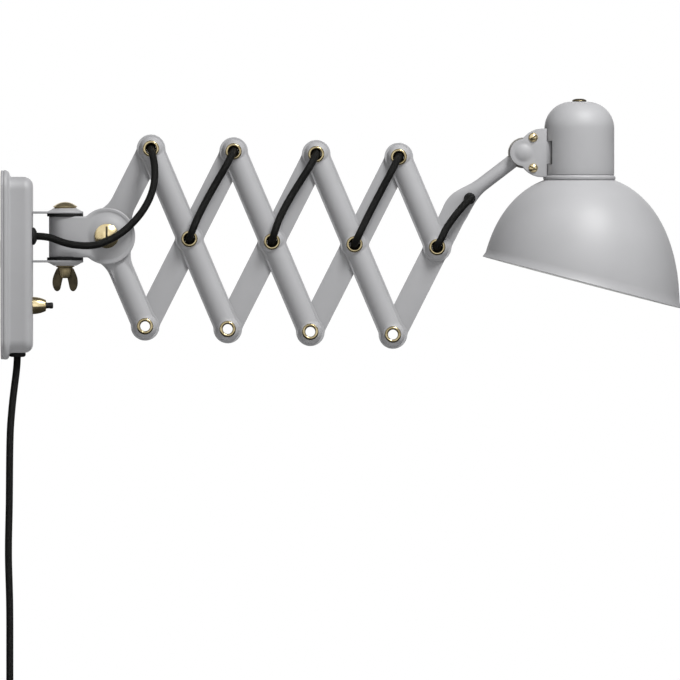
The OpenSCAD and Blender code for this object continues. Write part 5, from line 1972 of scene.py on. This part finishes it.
@dataclass(frozen=True)
class Grommets:
    """The rubber grommets of both leads."""

    front: Profile = (
        (3.95, -2.6), (7.6, -2.6), (8.2, -1.9), (7.6, -1.3), (6.5, -1.2), (6.5, 0), (9, 0), (9.45, 0.7),
        (9.4, 1.7), (8.9, 2.6), (8, 3.5), (6.9, 4.1), (5.8, 4.6), (5.1, 5), (4.4, 5.1), (3.95, 4.7),
    )
    under: Profile = (
        (3.95, -2.6), (7.6, -2.6), (8.2, -1.9), (7.8, -1.3), (7, -1.2), (7, 0), (8.7, 0), (9.1, 0.6),
        (9.1, 2.2), (8.6, 3.4), (7.6, 4.2), (6.2, 4.5), (4.9, 4.5), (4.2, 4.7), (3.95, 4.4),
    )

    def build(self) -> None:
        """Makes both grommets."""
        box = WallBox()
        places = (
            ("grommet_lamp_lead", self.front, on_axis((box.depth, *box.lead), OUT), "front_grommet"),
            ("grommet_mains_lead", self.under, on_axis((box.mains_x, 0, -box.half_h), DOWN), "mains_grommet"),
        )
        for name, section, place, node in places:
            draft = Draft().lathe(section, place, 56, loop=True)
            on_body(bevelled(draft.made(name, Look.RUBBER), 0.35, 2), "wall_base", node)


@dataclass(frozen=True)
class SwitchSet:
    """The bullet-shaped brass collar and its push button."""

    foot_r: float = 9.3
    tip_r: float = 5.8
    length: float = 14.6
    button_r: float = 3.4
    out: float = 7.6

    def build(self) -> None:
        """Makes the collar and the button."""
        box = WallBox()
        place = on_axis((box.depth, 0, box.switch_z), OUT)
        taper = self.foot_r - self.tip_r
        radius = (self.length**2 + taper**2) / (2 * taper)
        heights = np.linspace(0.6, self.length - 0.5, 18)
        outer = [(self.foot_r - radius + math.sqrt(radius**2 - h * h), h) for h in heights]
        bore = self.button_r + 0.06
        section = [(bore, -1.2), (5.0, -1.2), (5.0, 0.0), (self.foot_r - 0.3, 0.0), (self.foot_r, 0.25)]
        section += [(float(r), float(h)) for r, h in outer]
        section += [(self.tip_r - 0.35, self.length - 0.1), (self.tip_r - 0.9, self.length),
                    (bore + 0.6, self.length), (bore, self.length - 0.5)]
        collar = Draft().lathe(section, place, 72, loop=True).made("switch_collar_turned", Look.BRASS)
        on_body(collar, "wall_base", "switch_collar")
        r, end = self.button_r, self.length + self.out
        stem = [(0, 1.2), (r - 0.3, 1.2), (r, 1.6), (r, self.length + 0.3), (r - 0.25, self.length + 1.2),
                (r - 0.3, self.length + 3.2), (r - 0.05, self.length + 4.6), (r, end - 1.5)]
        stem += [(r * cosd(a) ** 0.5 if a < 90 else 0.0, end - 1.5 + 1.5 * sind(a))
                 for a in range(10, 91, 10)]
        button = Draft().lathe(stem, place, 48).made("switch_button_moulded", Look.BLACK_PLASTIC)
        on_body(button, "switch_button", "switch_button")


# Bracket and knuckle


@dataclass(frozen=True)
class Bracket:
    """The folded bracket on the box: a back strip and two ears, each with a pressed cone."""

    face_x: float = 33.3
    axis_x: float = 68.2
    middle_z: float = 30.0
    ear_r: float = 19.5
    sheet: float = 2.3
    gap: float = 50.0
    bore: float = 4.05
    cut: float = 60.0
    cone: Profile = (
        (4.05, -0.2), (18.9, -0.2), (18.6, 0.15), (17.6, 0.55), (15.6, 1.5), (13.6, 2.65), (12.4, 3.3),
        (11.6, 3.55), (10.8, 3.6), (4.05, 3.6),
    )
    washer_r: float = 19.4
    washer_t: float = 3.1

    def build(self) -> None:
        """Makes the bracket and its rubber washers."""
        draft = Draft()
        reach = self.axis_x - self.face_x
        for side in (-1, 1):
            foot = Matrix.Translation((self.face_x, 0, self.middle_z + side * self.gap / 2))
            at = foot @ Matrix.Diagonal((1, 1, side, 1))
            draft.prism(stadium(reach, self.ear_r, 24), 0, self.sheet, at)
        strip = rect(self.middle_z - self.gap / 2 - 0.4, self.middle_z + self.gap / 2 + 0.4, -self.ear_r,
                     self.ear_r)
        draft.prism(strip, self.face_x, self.face_x + self.sheet, ON_BOX)
        piece = bevelled(draft.made("bracket_sheet", Look.COAT), 0.55, 3)
        tool = Draft().rod(self.bore, -self.cut, self.cut, on_axis((self.axis_x, 0, self.middle_z), UP), 32)
        on_body(bored(piece, tool), "wall_base", "bracket")
        cones, washers = Draft(), Draft()
        for side in (-1, 1):
            foot = (self.axis_x, 0, self.middle_z + side * (self.gap / 2 + self.sheet))
            cones.lathe(self.cone, on_axis(foot, (0, 0, side)), 72, loop=True)
            inner = (self.axis_x, 0, self.middle_z + side * (self.gap / 2))
            section = rounded(rect(self.bore, self.washer_r, -self.washer_t, -0.02), [0, 0.5, 0.5, 0], 3,
                              True)
            washers.lathe(section, on_axis(inner, (0, 0, side)), 72, loop=True)
        on_body(cones.made("bracket_cones", Look.COAT), "wall_base", "bracket")
        on_body(washers.made("swivel_washers_rubber", Look.RUBBER), "wall_base", "swivel_washers")


@dataclass(frozen=True)
class SwivelBolt:
    """The vertical bolt with its domed head, and the wing nut under it."""

    stack: float = 30.9
    nut_h: float = 13.0
    bolt_r: float = 4.0
    head: Profile = (
        (0, 6.6), (2, 6.5), (4.2, 6.15), (6.4, 5.5), (8.4, 4.6), (10.2, 3.6), (11.7, 2.6), (12.7, 1.95),
        (13.15, 1.5), (13.1, 1.15), (12.5, 0.85), (11.6, 0.45), (11.2, 0), (4, 0),
    )
    petal: Profile = (
        (5.5, 1.6), (8.6, 2.6), (10.2, 5.4), (11.9, 9.2), (13.1, 13), (13.6, 17), (13.3, 20.9),
        (12.2, 24.2), (10.6, 26.4), (8.7, 27.2), (6.9, 26.7), (5.5, 25.2), (4.6, 22.8), (3.9, 19.4),
        (3.2, 16.2), (2.6, 13.6), (2, 10),
    )
    petal_t: float = 4.6
    body: Profile = (
        (4.06, 0), (9.9, 0), (10.2, 0.4), (10, 1), (8.3, 1.5), (7.9, 2.4), (7.7, 5), (7.2, 8.6),
        (6.5, 11.6), (5.9, 12.8), (5.2, 13.1), (4.06, 13),
    )

    def build(self) -> None:
        """Makes the bolt and the wing nut."""
        bracket = Bracket()
        top = (bracket.axis_x, 0, bracket.middle_z + self.stack)
        tail = 2 * self.stack + self.nut_h + 0.3
        section = list(self.head)
        h = 0.0
        while h > -tail + 1.2:
            plain = [(self.bolt_r, h - 0.2), (self.bolt_r, h - 0.9)]
            thread = [(self.bolt_r, h - 0.25), (self.bolt_r - 0.4, h - 0.8)]
            section += plain if h > -2 * self.stack else thread
            h -= 1.0
        section += [(self.bolt_r - 0.6, -tail), (0.0, -tail)]
        bolt = Draft().lathe(section, on_axis(top, UP), 56)
        on_body(bolt.made("swivel_bolt_domed", Look.BRASS), "wall_base", "swivel_bolt")
        at = Matrix.Translation((bracket.axis_x, 0, bracket.middle_z - self.stack - 0.05))
        nut = Draft().lathe(self.body, at @ Matrix.Diagonal((1, 1, -1, 1)), 48, loop=True)
        outline = [tuple(p[:2]) for p in smooth_route([(*p, 0) for p in self.petal], 3)]
        upright = Matrix(((1, 0, 0, 0), (0, 0, 1, 0), (0, -1, 0, 0), (0, 0, 0, 1)))
        for side in (-1, 1):
            nut.skin([[(side * x, y, h) for x, y in outline] for h in (-self.petal_t / 2, self.petal_t / 2)],
                     place=at @ upright, slot=1)
        # The petals take near-black brass: painted reflection of dark surroundings; the body keeps satin brass.
        piece = bevelled(nut.made("wing_nut_cast", Look.SATIN_BRASS, Look.PETAL_REFLECTION_BRASS), 1.5, 4)
        on_body(piece, "wing_nut", "wing_nut")


@dataclass(frozen=True)
class Knuckle:
    """The cast knuckle: a barrel that runs out into two domed cheeks round the base hubs."""

    axis_x: float = 68.2
    middle_z: float = 30.0
    barrel_r: float = 17.3
    half_h: float = 21.9
    cheek_r: float = 30.3
    inner_y: float = 8.9
    web_x: float = 83.5
    edge: float = 1.5
    flow: float = 0.0062
    fillet: float = 5.0
    dome: Profile = (
        (0, 15.4), (13.6, 15.4), (15, 15.15), (17, 14.5), (19, 13.7), (21, 12.85), (23, 12.15),
        (24.4, 11.75), (25.4, 11.55), (26.2, 11.7), (27, 11.95), (28, 12), (40, 12),
    )
    bolt_bore: float = 4.06
    screw_bore: float = 6.06
    cut: float = 60.0
    slot_round: float = 3.0
    soft: float = 1.2
    spine_share: float = 0.985
    steps: int = 44

    def edge_points(self) -> Outline:
        """Outline seen from the front, anticlockwise from the barrel's lower left corner.

        Returns:
            The outline.
        """
        hub = np.array(LINKAGE.hub)
        low, high = self.middle_z - self.half_h, self.middle_z + self.half_h
        left = self.axis_x - self.barrel_r
        r, f = self.cheek_r, self.fillet

        def joint(level: float, sign: int) -> Pair:
            """Centre x of the fillet under or over the slab, and its angle at the cheek."""
            rise = sign * (level + sign * f - hub[1])
            away = math.sqrt((r + f) ** 2 - rise**2)
            return hub[0] - away, math.degrees(math.atan2(rise, away))

        low_x, low_a = joint(low, -1)
        high_x, high_a = joint(high, 1)
        lower = arc((low_x, low - f), f, 90, low_a, 6)
        upper = arc((high_x, high + f), f, -high_a, -90, 6)
        round_edge = arc(hub, r, -180 + low_a, 180 - high_a, 90)
        left_edge = [(left, high + (low - high) * k / 16) for k in range(17)]
        bottom = [(left + (low_x - left) * k / 12, low) for k in range(1, 12)]
        top = [(high_x + (left - high_x) * k / 12, high) for k in range(1, 12)]
        return left_edge + bottom + lower + round_edge[1:-1] + upper + top

    def height(self, x: float, z: float) -> float:
        """Distance of the surface from the middle plane.

        Args:
            x: place along X.
            z: place along Z.

        Returns:
            The distance, in millimetres.
        """
        hub = LINKAGE.hub
        if x < self.axis_x:
            barrel = math.sqrt(max(self.barrel_r**2 - (x - self.axis_x) ** 2, 0))
        else:
            barrel = max(self.barrel_r - self.flow * (x - self.axis_x) ** 2, 0)
        away = math.hypot(x - hub[0], z - hub[1])
        near = away < self.cheek_r + 4 and x > self.web_x - 4
        cheek = float(np.interp(away, *zip(*self.dome))) if near else 0.0
        both = max(barrel, cheek) + self.soft * math.exp(-abs(barrel - cheek) / self.soft) / 2
        inside = self.cheek_r - away
        if x < hub[0] - 12:
            inside = max(inside, self.half_h - abs(z - self.middle_z))
        if inside < self.edge:
            gone = self.edge - max(inside, 0)
            both -= self.edge - math.sqrt(max(self.edge**2 - gone**2, 0))
        return max(both if x > self.axis_x - self.barrel_r + 0.01 else 0.0, 0.05)

    def draft(self) -> Draft:
        """Closed pillow of both cheeks and the barrel.

        Returns:
            The draft.
        """
        hub = LINKAGE.hub
        edge = [np.array(p) for p in self.edge_points()]
        count, spine = len(edge), []
        for i in range(count):
            mates = (edge[i][0], edge[(16 - i) % count][0])
            x = sum(min(max(v, self.axis_x), hub[0]) for v in mates) / 2
            t = (x - self.axis_x) / (hub[0] - self.axis_x)
            spine.append(np.array([x, self.middle_z + (hub[1] - self.middle_z) * t]))
        shares = [(1 - cosd(90 * k / self.steps)) * self.spine_share for k in range(self.steps + 1)] + [1.0]
        half = []
        for share in shares:
            ring = [p + (s - p) * share for p, s in zip(edge, spine)]
            half.append([(q[0], self.height(q[0], q[1]), q[1]) for q in ring])
        front = [[(x, -y, z) for x, y, z in ring] for ring in half]
        return Draft().skin(list(reversed(half)) + front, capped=False)

    def build(self) -> None:
        """Makes the knuckle, with the fork cut out of it."""
        hub = LINKAGE.hub
        piece = self.draft().made("knuckle_cast", Look.COAT)
        tool = Draft()
        y, r, cut = self.inner_y, self.slot_round, self.cut
        plan = rounded(rect(self.web_x, hub[0] + cut, -y, y), [r, 0, 0, r], 6, True)
        tool.prism(plan, self.middle_z - cut, self.middle_z + cut, Matrix.Identity(4))
        tool.rod(self.bolt_bore, -cut, cut, on_axis((self.axis_x, 0, self.middle_z), UP), 36)
        tool.rod(self.screw_bore, -cut, cut, on_axis((hub[0], 0, hub[1]), FAR), 40)
        on_body(bored(piece, tool), "knuckle", "knuckle")


@dataclass(frozen=True)
class HubScrew:
    """The big slotted screw through the hub, its nut, and the brass ring between the two hubs."""

    crest: float = 15.5
    head: SlottedHead = SlottedHead(13.0, 5.4, 6.0, 37.0, 0.165, 0.5, 0.9)
    nut_r: float = 9.5
    nut_h: float = 6.0
    ring: Pair = (6.3, 28.4)
    ring_gap: float = 0.05

    def build(self) -> None:
        """Makes the screw, the nut and the ring."""
        x, z = LINKAGE.hub
        screw = self.head.build("hub_screw_slotted", on_axis((x, -self.crest, z), NEAR), 0)
        on_body(screw, "hub", "hub_screw")
        back = on_axis((x, self.crest, z), FAR)
        nut = hexagon(self.nut_r, self.nut_h, back)
        face = LINKAGE.face_y - self.ring_gap
        nut.lathe(rect(*self.ring, -face, face), on_axis((x, 0, z), NEAR), 64, loop=True)
        on_body(bevelled(nut.made("hub_nut_and_ring", Look.BRASS), 0.5, 2), "hub", "hub_screw")


# Ball joint and shade


@dataclass(frozen=True)
class BallClamp:
    """The ball on its stud, and the two pressed plates that grip it, with their screws."""

    ball_r: float = 16.5
    inner: float = 14.11
    sheet: float = 2.0
    lobe_r: float = 14.5
    disc_x: float = 20.3
    disc_r: float = 25.9
    edge_x: float = 24.96
    tab: Pair = (5.0, 12.0)
    screw_at: Pair = (10.4, 16.4)
    slot_turns: Pair = (-58.0, 62.0)
    meet_turn: float = 94.7
    strip: tuple[float, float, float, float] = (27.2, 31.5, -2.2, 0.3)
    strip_half: float = 14.0
    bend: Pair = (-0.3, 0.35)
    bend_deep: float = 0.55
    screw_bore: float = 2.06
    ball_gap: float = 0.06
    neck_r: float = 7.4
    stud: Profile = ((6.6, 0.5), (4.5, 0.9))
    stud_r: float = 4.5
    stud_len: float = 17.9
    dimple: Profile = (
        (0, 4.44), (1.6, 4.37), (3.2, 4.16), (4.8, 3.81), (6, 3.44), (7, 3.07), (7.8, 2.75), (8.6, 2.42),
        (9.4, 2.18), (10.3, 2.05), (11.2, 2.01), (11.2, 0.6), (0, 0.6),
    )

    def outline(self) -> Outline:
        """Outline of one plate round the ball's centre.

        Returns:
            The outline.
        """
        d, r, q = self.disc_x, self.disc_r, self.lobe_r
        upper = self.meet_turn
        touch = polar(upper, q)
        at = math.degrees(math.atan2(touch[1], touch[0] - d))
        points = arc((d, 0), r, 90, at, 18) + arc((0, 0), q, upper, 360 - upper, 48)[1:-1]
        points += arc((d, 0), r, 360 - at, 270, 18)
        e, (tab, half) = self.edge_x, self.tab
        low = -math.sqrt(r * r - (e - d) ** 2)
        return points + [(e - 1.2, -r * 0.9993), (e, low), (e, -half), (e + tab, -half), (e + tab, half),
                         (e, half), (e, -low), (e - 1.2, r * 0.9993)]

    def plate(self, name: str, node: str, side: int) -> None:
        """Makes one plate, on the near side (-1) or the far side (1).

        Args:
            name: the piece's name.
            node: the CAD node that it replaces.
            side: -1 for the near plate, 1 for the far one.
        """
        x, z = LINKAGE.ball
        at = Vector((x, LINKAGE.head_y + side * self.inner, z))
        axes = Matrix(((1, 0, 0), (0, 0, side), (0, 1, 0))).to_4x4()
        place = Matrix.Translation(at) @ axes
        sheet = Draft().prism(self.outline(), 0, self.sheet, place).made(name, Look.COAT)
        bevelled(sheet, 0.55, 3)
        dome = Draft().lathe(self.dimple, place, 64).made(name + "_dome", Look.COAT)
        joined(sheet, dome)
        near, far, low, high = self.strip
        lap = Draft().prism(rect(near, far, -self.strip_half, self.strip_half), low, high, place)
        joined(sheet, lap.made(name + "_lap", Look.COAT))
        tool, half = Draft(), self.tab[1] + 1
        groove = rect(self.edge_x + self.bend[0], self.edge_x + self.bend[1], -half, half)
        tool.prism(groove, self.sheet - self.bend_deep, self.sheet + 2, place)
        ball = self.ball_r + self.ball_gap
        shape = [(ball * cosd(a), ball * sind(a) - self.inner) for a in range(-90, 91, 6)]
        tool.lathe([(abs(r), h) for r, h in shape], place, 64)
        for sign in (-1, 1):
            spot = place @ Matrix.Translation((self.screw_at[0], sign * self.screw_at[1], 0))
            tool.rod(self.screw_bore, -2, 4, spot, 24)
        on_body(bored(sheet, tool), "head", node)

    def ball(self) -> None:
        """Makes the ball and its stud."""
        x, z = LINKAGE.ball
        way = polar(-180 + LINKAGE.tube_angle, 1)
        r = self.ball_r
        turn = math.degrees(math.asin(self.neck_r / r))
        profile = [(r * sind(a), -r * cosd(a)) for a in np.linspace(0, 180 - turn, 60)]
        lip = profile[-1][1]
        end = r + self.stud_len
        profile += [(a, lip + b) for a, b in self.stud] + [(self.stud_r, end), (0, end)]
        ball = Draft().lathe([(float(a), float(b)) for a, b in profile],
                             on_axis((x, LINKAGE.head_y, z), (way[0], 0, way[1])), 96)
        on_body(ball.made("ball_and_stud", Look.SATIN_NICKEL), "ball_stud", "ball_stud")

    def screws(self) -> None:
        """Makes the two screws and their nuts."""
        x, z = LINKAGE.ball
        outer = self.inner + self.sheet
        head = SlottedHead(4.9, 3.1, 2.0, 2 * outer + 4, 0.26, 0.5, 0.6)
        for index, sign in enumerate((1, -1)):
            at = (x + self.screw_at[0], LINKAGE.head_y - outer, z + sign * self.screw_at[1])
            screw = head.build(f"clamp_screw_{index + 1}", on_axis(at, NEAR), self.slot_turns[index])
            on_body(screw, "head", "clamp_screws")
            back = on_axis((at[0], LINKAGE.head_y + outer + 0.02, at[2]), FAR)
            nut = bevelled(hexagon(4.2, 3.0, back).made(f"clamp_nut_{index + 1}", Look.BRASS), 0.35, 2)
            on_body(nut, "head", "clamp_screws")

    def build(self) -> None:
        """Makes the whole ball joint."""
        self.ball()
        self.plate("clamp_plate_near", "clamp_front", -1)
        self.plate("clamp_plate_far", "clamp_rear", 1)
        self.screws()


@dataclass(frozen=True)
class Housing:
    """The domed cap over the lampholder, with its bead, its two slots and the knob on top."""

    reach: float = 59.9
    radius: float = 37.4
    height: float = 84.2
    dome: float = 28.9
    sheet: float = 1.5
    ball_over_shade: float = 29.4
    slot_x: Pair = (-35.5, -29.3)
    slot_y: float = 13.5
    slot_half: float = 12.6

    @property
    def place(self) -> Matrix:
        """The frame of the shade and the housing: the axis at the top of the shade."""
        x, z = LINKAGE.ball
        return Matrix.Translation((x + self.reach, LINKAGE.head_y, z - self.ball_over_shade))

    def build(self) -> None:
        """Makes the housing and the knob."""
        r, h, d, t = self.radius, self.height, self.dome, self.sheet
        bead = [(r - 1.2, 0.05), (r + 0.35, 0.1), (r + 1.05, 0.75), (r + 1.3, 1.7), (r + 1.3, 3.2),
                (r + 1.05, 4.2), (r + 0.3, 4.85), (r - 0.45, 5.05), (r - 0.5, 5.6), (r - 0.1, 6.0), (r, 6.6)]
        wall = [(r, 6.6 + (h - d - 6.6) * k / 6) for k in range(1, 6)]
        outer = bead + wall + arc((r - d, h - d), d, 0, 90, 22) + [(5.06, h)]
        inner = [(5.06, h - t)] + arc((r - d, h - d), d - t, 90, 0, 22) + [(r - t, 12), (r - t, 0.6)]
        shell = Draft().lathe(outer + inner, self.place, 128, loop=True).made("housing_domed", Look.COAT)
        tool = Draft()
        for side in (-1, 1):
            x0, x1 = self.slot_x
            y0, y1 = sorted((side * self.slot_y, side * (r + 2)))
            z = self.ball_over_shade
            corners = rounded(rect(x0, x1, z - self.slot_half, z + self.slot_half), [0.5] * 4, 3, True)
            tool.skin([[(x, y, h) for x, h in corners] for y in (y0, y1)], place=self.place)
        on_body(bored(shell, tool), "head", "shade_housing")
        knob = [(0.0, 3.3), (2.5, 3.2), (4.8, 2.9), (6.4, 2.35), (7.4, 1.6), (7.8, 0.9), (7.7, 0.3),
                (7.2, 0.05), (3.5, 0.05), (3.5, -5.9), (0, -5.9)]
        at = self.place @ Matrix.Translation((0, 0, h + 0.02))
        # The knob takes darkened brass: painted reflection of dark surroundings.
        piece = Draft().lathe(knob, at, 56).made("knob_turned", Look.REFLECTION_DARKENED_BRASS)
        on_body(piece, "head", "top_knob")


@dataclass(frozen=True)
class ShadeBowl:
    """The spun bowl, cut by a sloping mouth, with a flared and rolled rim; enamelled white inside."""

    radius: float = 107.5
    height: float = 141.5
    power: float = 2.3
    top_r: float = 38.5
    hole_r: float = 20.1
    sheet: float = 1.2
    mouth_z: float = -108.9
    mouth_angle: float = 14.8
    flare_run: float = 5.4
    flare_out: float = 2.0
    roll: float = 0.75
    turns: int = 192
    steps: int = 34

    def outer(self, z: float) -> float:
        """Radius of the outside at a height under the top.

        Args:
            z: the height.

        Returns:
            The radius.
        """
        full = self.height / (1 - (self.top_r / self.radius) ** self.power) ** (1 / self.power)
        over = max(z + self.height, 0) / full
        return self.radius * (1 - over**self.power) ** (1 / self.power)

    def slope(self, z: float) -> float:
        """How fast the outside widens downwards."""
        return (self.outer(z - 0.05) - self.outer(z + 0.05)) / 0.1

    def rim_height(self, turn: float) -> float:
        """Height of the mouth at one angle round the axis.

        Args:
            turn: the angle, in radians.

        Returns:
            The height.
        """
        z = self.mouth_z
        for _ in range(12):
            z = self.mouth_z - math.tan(math.radians(self.mouth_angle)) * self.outer(z) * math.cos(turn)
        return z

    def section(self, turn: float) -> tuple[Outline, int]:
        """Closed section of the sheet at one angle.

        Args:
            turn: the angle round the axis, in radians.

        Returns:
            The points as (radius, height), and the number of the first one on the inside.
        """
        rim = self.rim_height(turn) + self.roll
        end = math.asin((rim + self.height) / self.height)
        turns = [math.pi / 2 + (end - math.pi / 2) * (k / self.steps) for k in range(self.steps + 1)]
        heights = [self.height * (math.sin(a) - 1) for a in turns]
        heights[0] = -0.25
        wall, inside = [], []
        for z in heights:
            r, m = self.outer(z), self.slope(z)
            size = math.hypot(1, m)
            left = max(0.0, 1 - (z - rim) * size / self.flare_run) if z - rim < self.flare_run else 0.0
            lift = self.flare_out * left**2.2
            nr, nz = 1 / size, m / size
            wall.append((r + nr * lift, z + nz * lift))
            inside.append((r + nr * (lift - self.sheet), z + nz * (lift - self.sheet)))
        r, z = (wall[-1][0] + inside[-1][0]) / 2, (wall[-1][1] + inside[-1][1]) / 2
        nr, nz = (wall[-1][0] - inside[-1][0]) / self.sheet, (wall[-1][1] - inside[-1][1]) / self.sheet
        tip = []
        for k in range(1, 8):
            a = math.radians(180 * k / 8)
            tip.append((r + self.roll * (nr * math.cos(a) + nz * math.sin(a)),
                        z + self.roll * (nz * math.cos(a) - nr * math.sin(a))))
        top = [(self.hole_r, 0.0), (self.top_r - 1.6, 0.0), (self.top_r - 0.6, -0.05)]
        back = [(self.top_r - 0.6 - self.sheet, -self.sheet), (self.hole_r, -self.sheet)]
        outside = top + wall + tip
        return outside + inside[::-1] + back, len(outside) - 3

    def build(self) -> None:
        """Makes the bowl."""
        rings, first, place = [], 0, Housing().place
        for k in range(self.turns):
            turn = 2 * math.pi * k / self.turns
            section, first = self.section(turn)
            rings.append([(r * math.cos(turn), r * math.sin(turn), z) for r, z in section])
        draft = Draft().skin(rings, loop=True, place=place)
        sides = len(rings[0])
        for number, face in enumerate(draft.faces):
            draft.slots[face] = 1 if first <= number % sides < sides - 1 else 0
        on_body(draft.made("shade_spun", Look.COAT, Look.INNER_COAT), "head", "shade")


@dataclass(frozen=True)
class Lampholder:
    """The moulded lampholder with its threaded brass shell, its centre contact and its nipple."""

    bore: float = 13.3
    outer: float = 19.5
    low: float = -3.5
    height: float = 48.0
    depth: float = 26.0
    pitch: float = 3.6
    nipple: float = 5.0

    def build(self) -> None:
        """Makes the lampholder."""
        place, r, low, high = Housing().place, self.outer, self.low, self.low + self.height
        floor = low + self.depth
        body = [(14.6, low), (r - 0.8, low), (r, low + 0.8), (r, low + 13), (r - 0.7, low + 13.6),
                (r - 0.7, low + 15.4), (r, low + 16), (r, high - 8), (r - 1.2, high - 2.5), (r - 3.4, high),
                (self.nipple, high), (self.nipple, 83.8), (3.6, 83.8), (3.6, high - 4), (0, high - 4),
                (0, floor + 0.4), (14.6, floor + 0.4)]
        draft = Draft().lathe(body, place, 72, loop=True)
        steps = int((self.depth - 3) / self.pitch * 8)
        wave = [(self.bore + 0.45 - 0.35 * math.cos(2 * math.pi * k / 8),
                 low + 1.5 + k * self.pitch / 8) for k in range(steps)]
        shell = wave + [(14.55, wave[-1][1]), (14.55, low + 1.5)]
        draft.lathe(shell, place, 64, loop=True, slot=1)
        contact = [(0, floor - 3), (2.6, floor - 2.8), (3.6, floor - 1.6), (3.8, floor + 0.8),
                   (0, floor + 0.8)]
        draft.lathe(contact, place, 32, slot=1)
        piece = draft.made("lampholder_moulded", Look.BLACK_PLASTIC, Look.BRASS)
        on_body(piece, "head", "lampholder")


# Everything together


def place_cad_finishes() -> None:
    """Gives every CAD node the finish of its slot."""
    plain = (Look.COAT, Look.BRASS, Look.BRAID, Look.RUBBER, Look.BLACK_PLASTIC, Look.WHITE_PLASTIC)
    material_of = {look.slot: look.material for look in plain}
    slot_of = {s["node"]: s["material_slot"] for s in frame["record"]["subparts"]}
    for name, node in frame["nodes"].items():
        node.data.materials.clear()
        node.data.materials.append(material_of[slot_of[name]])


def main() -> None:
    """Builds the lamp's pieces in order, then its studio."""
    logging.basicConfig(level=logging.INFO, format="%(message)s")
    low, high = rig.bounds()
    studio = Studio()
    studio.camera()
    for part in (MainsCord, LampLead):
        part().build()
    place_cad_finishes()
    for part in (ScissorArms, Eyelets, LampArm, WallBox, Grommets, SwitchSet, Bracket, SwivelBolt, Knuckle,
                 HubScrew, BallClamp, Housing, ShadeBowl, Lampholder):
        part().build()
    studio.lit()
    new_low, new_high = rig.bounds()
    with open(SIZE_FILE, "w") as out:
        json.dump({"cad": [list(low), list(high)], "visual": [list(new_low), list(new_high)]}, out)


if __name__ == "__main__":
    main()
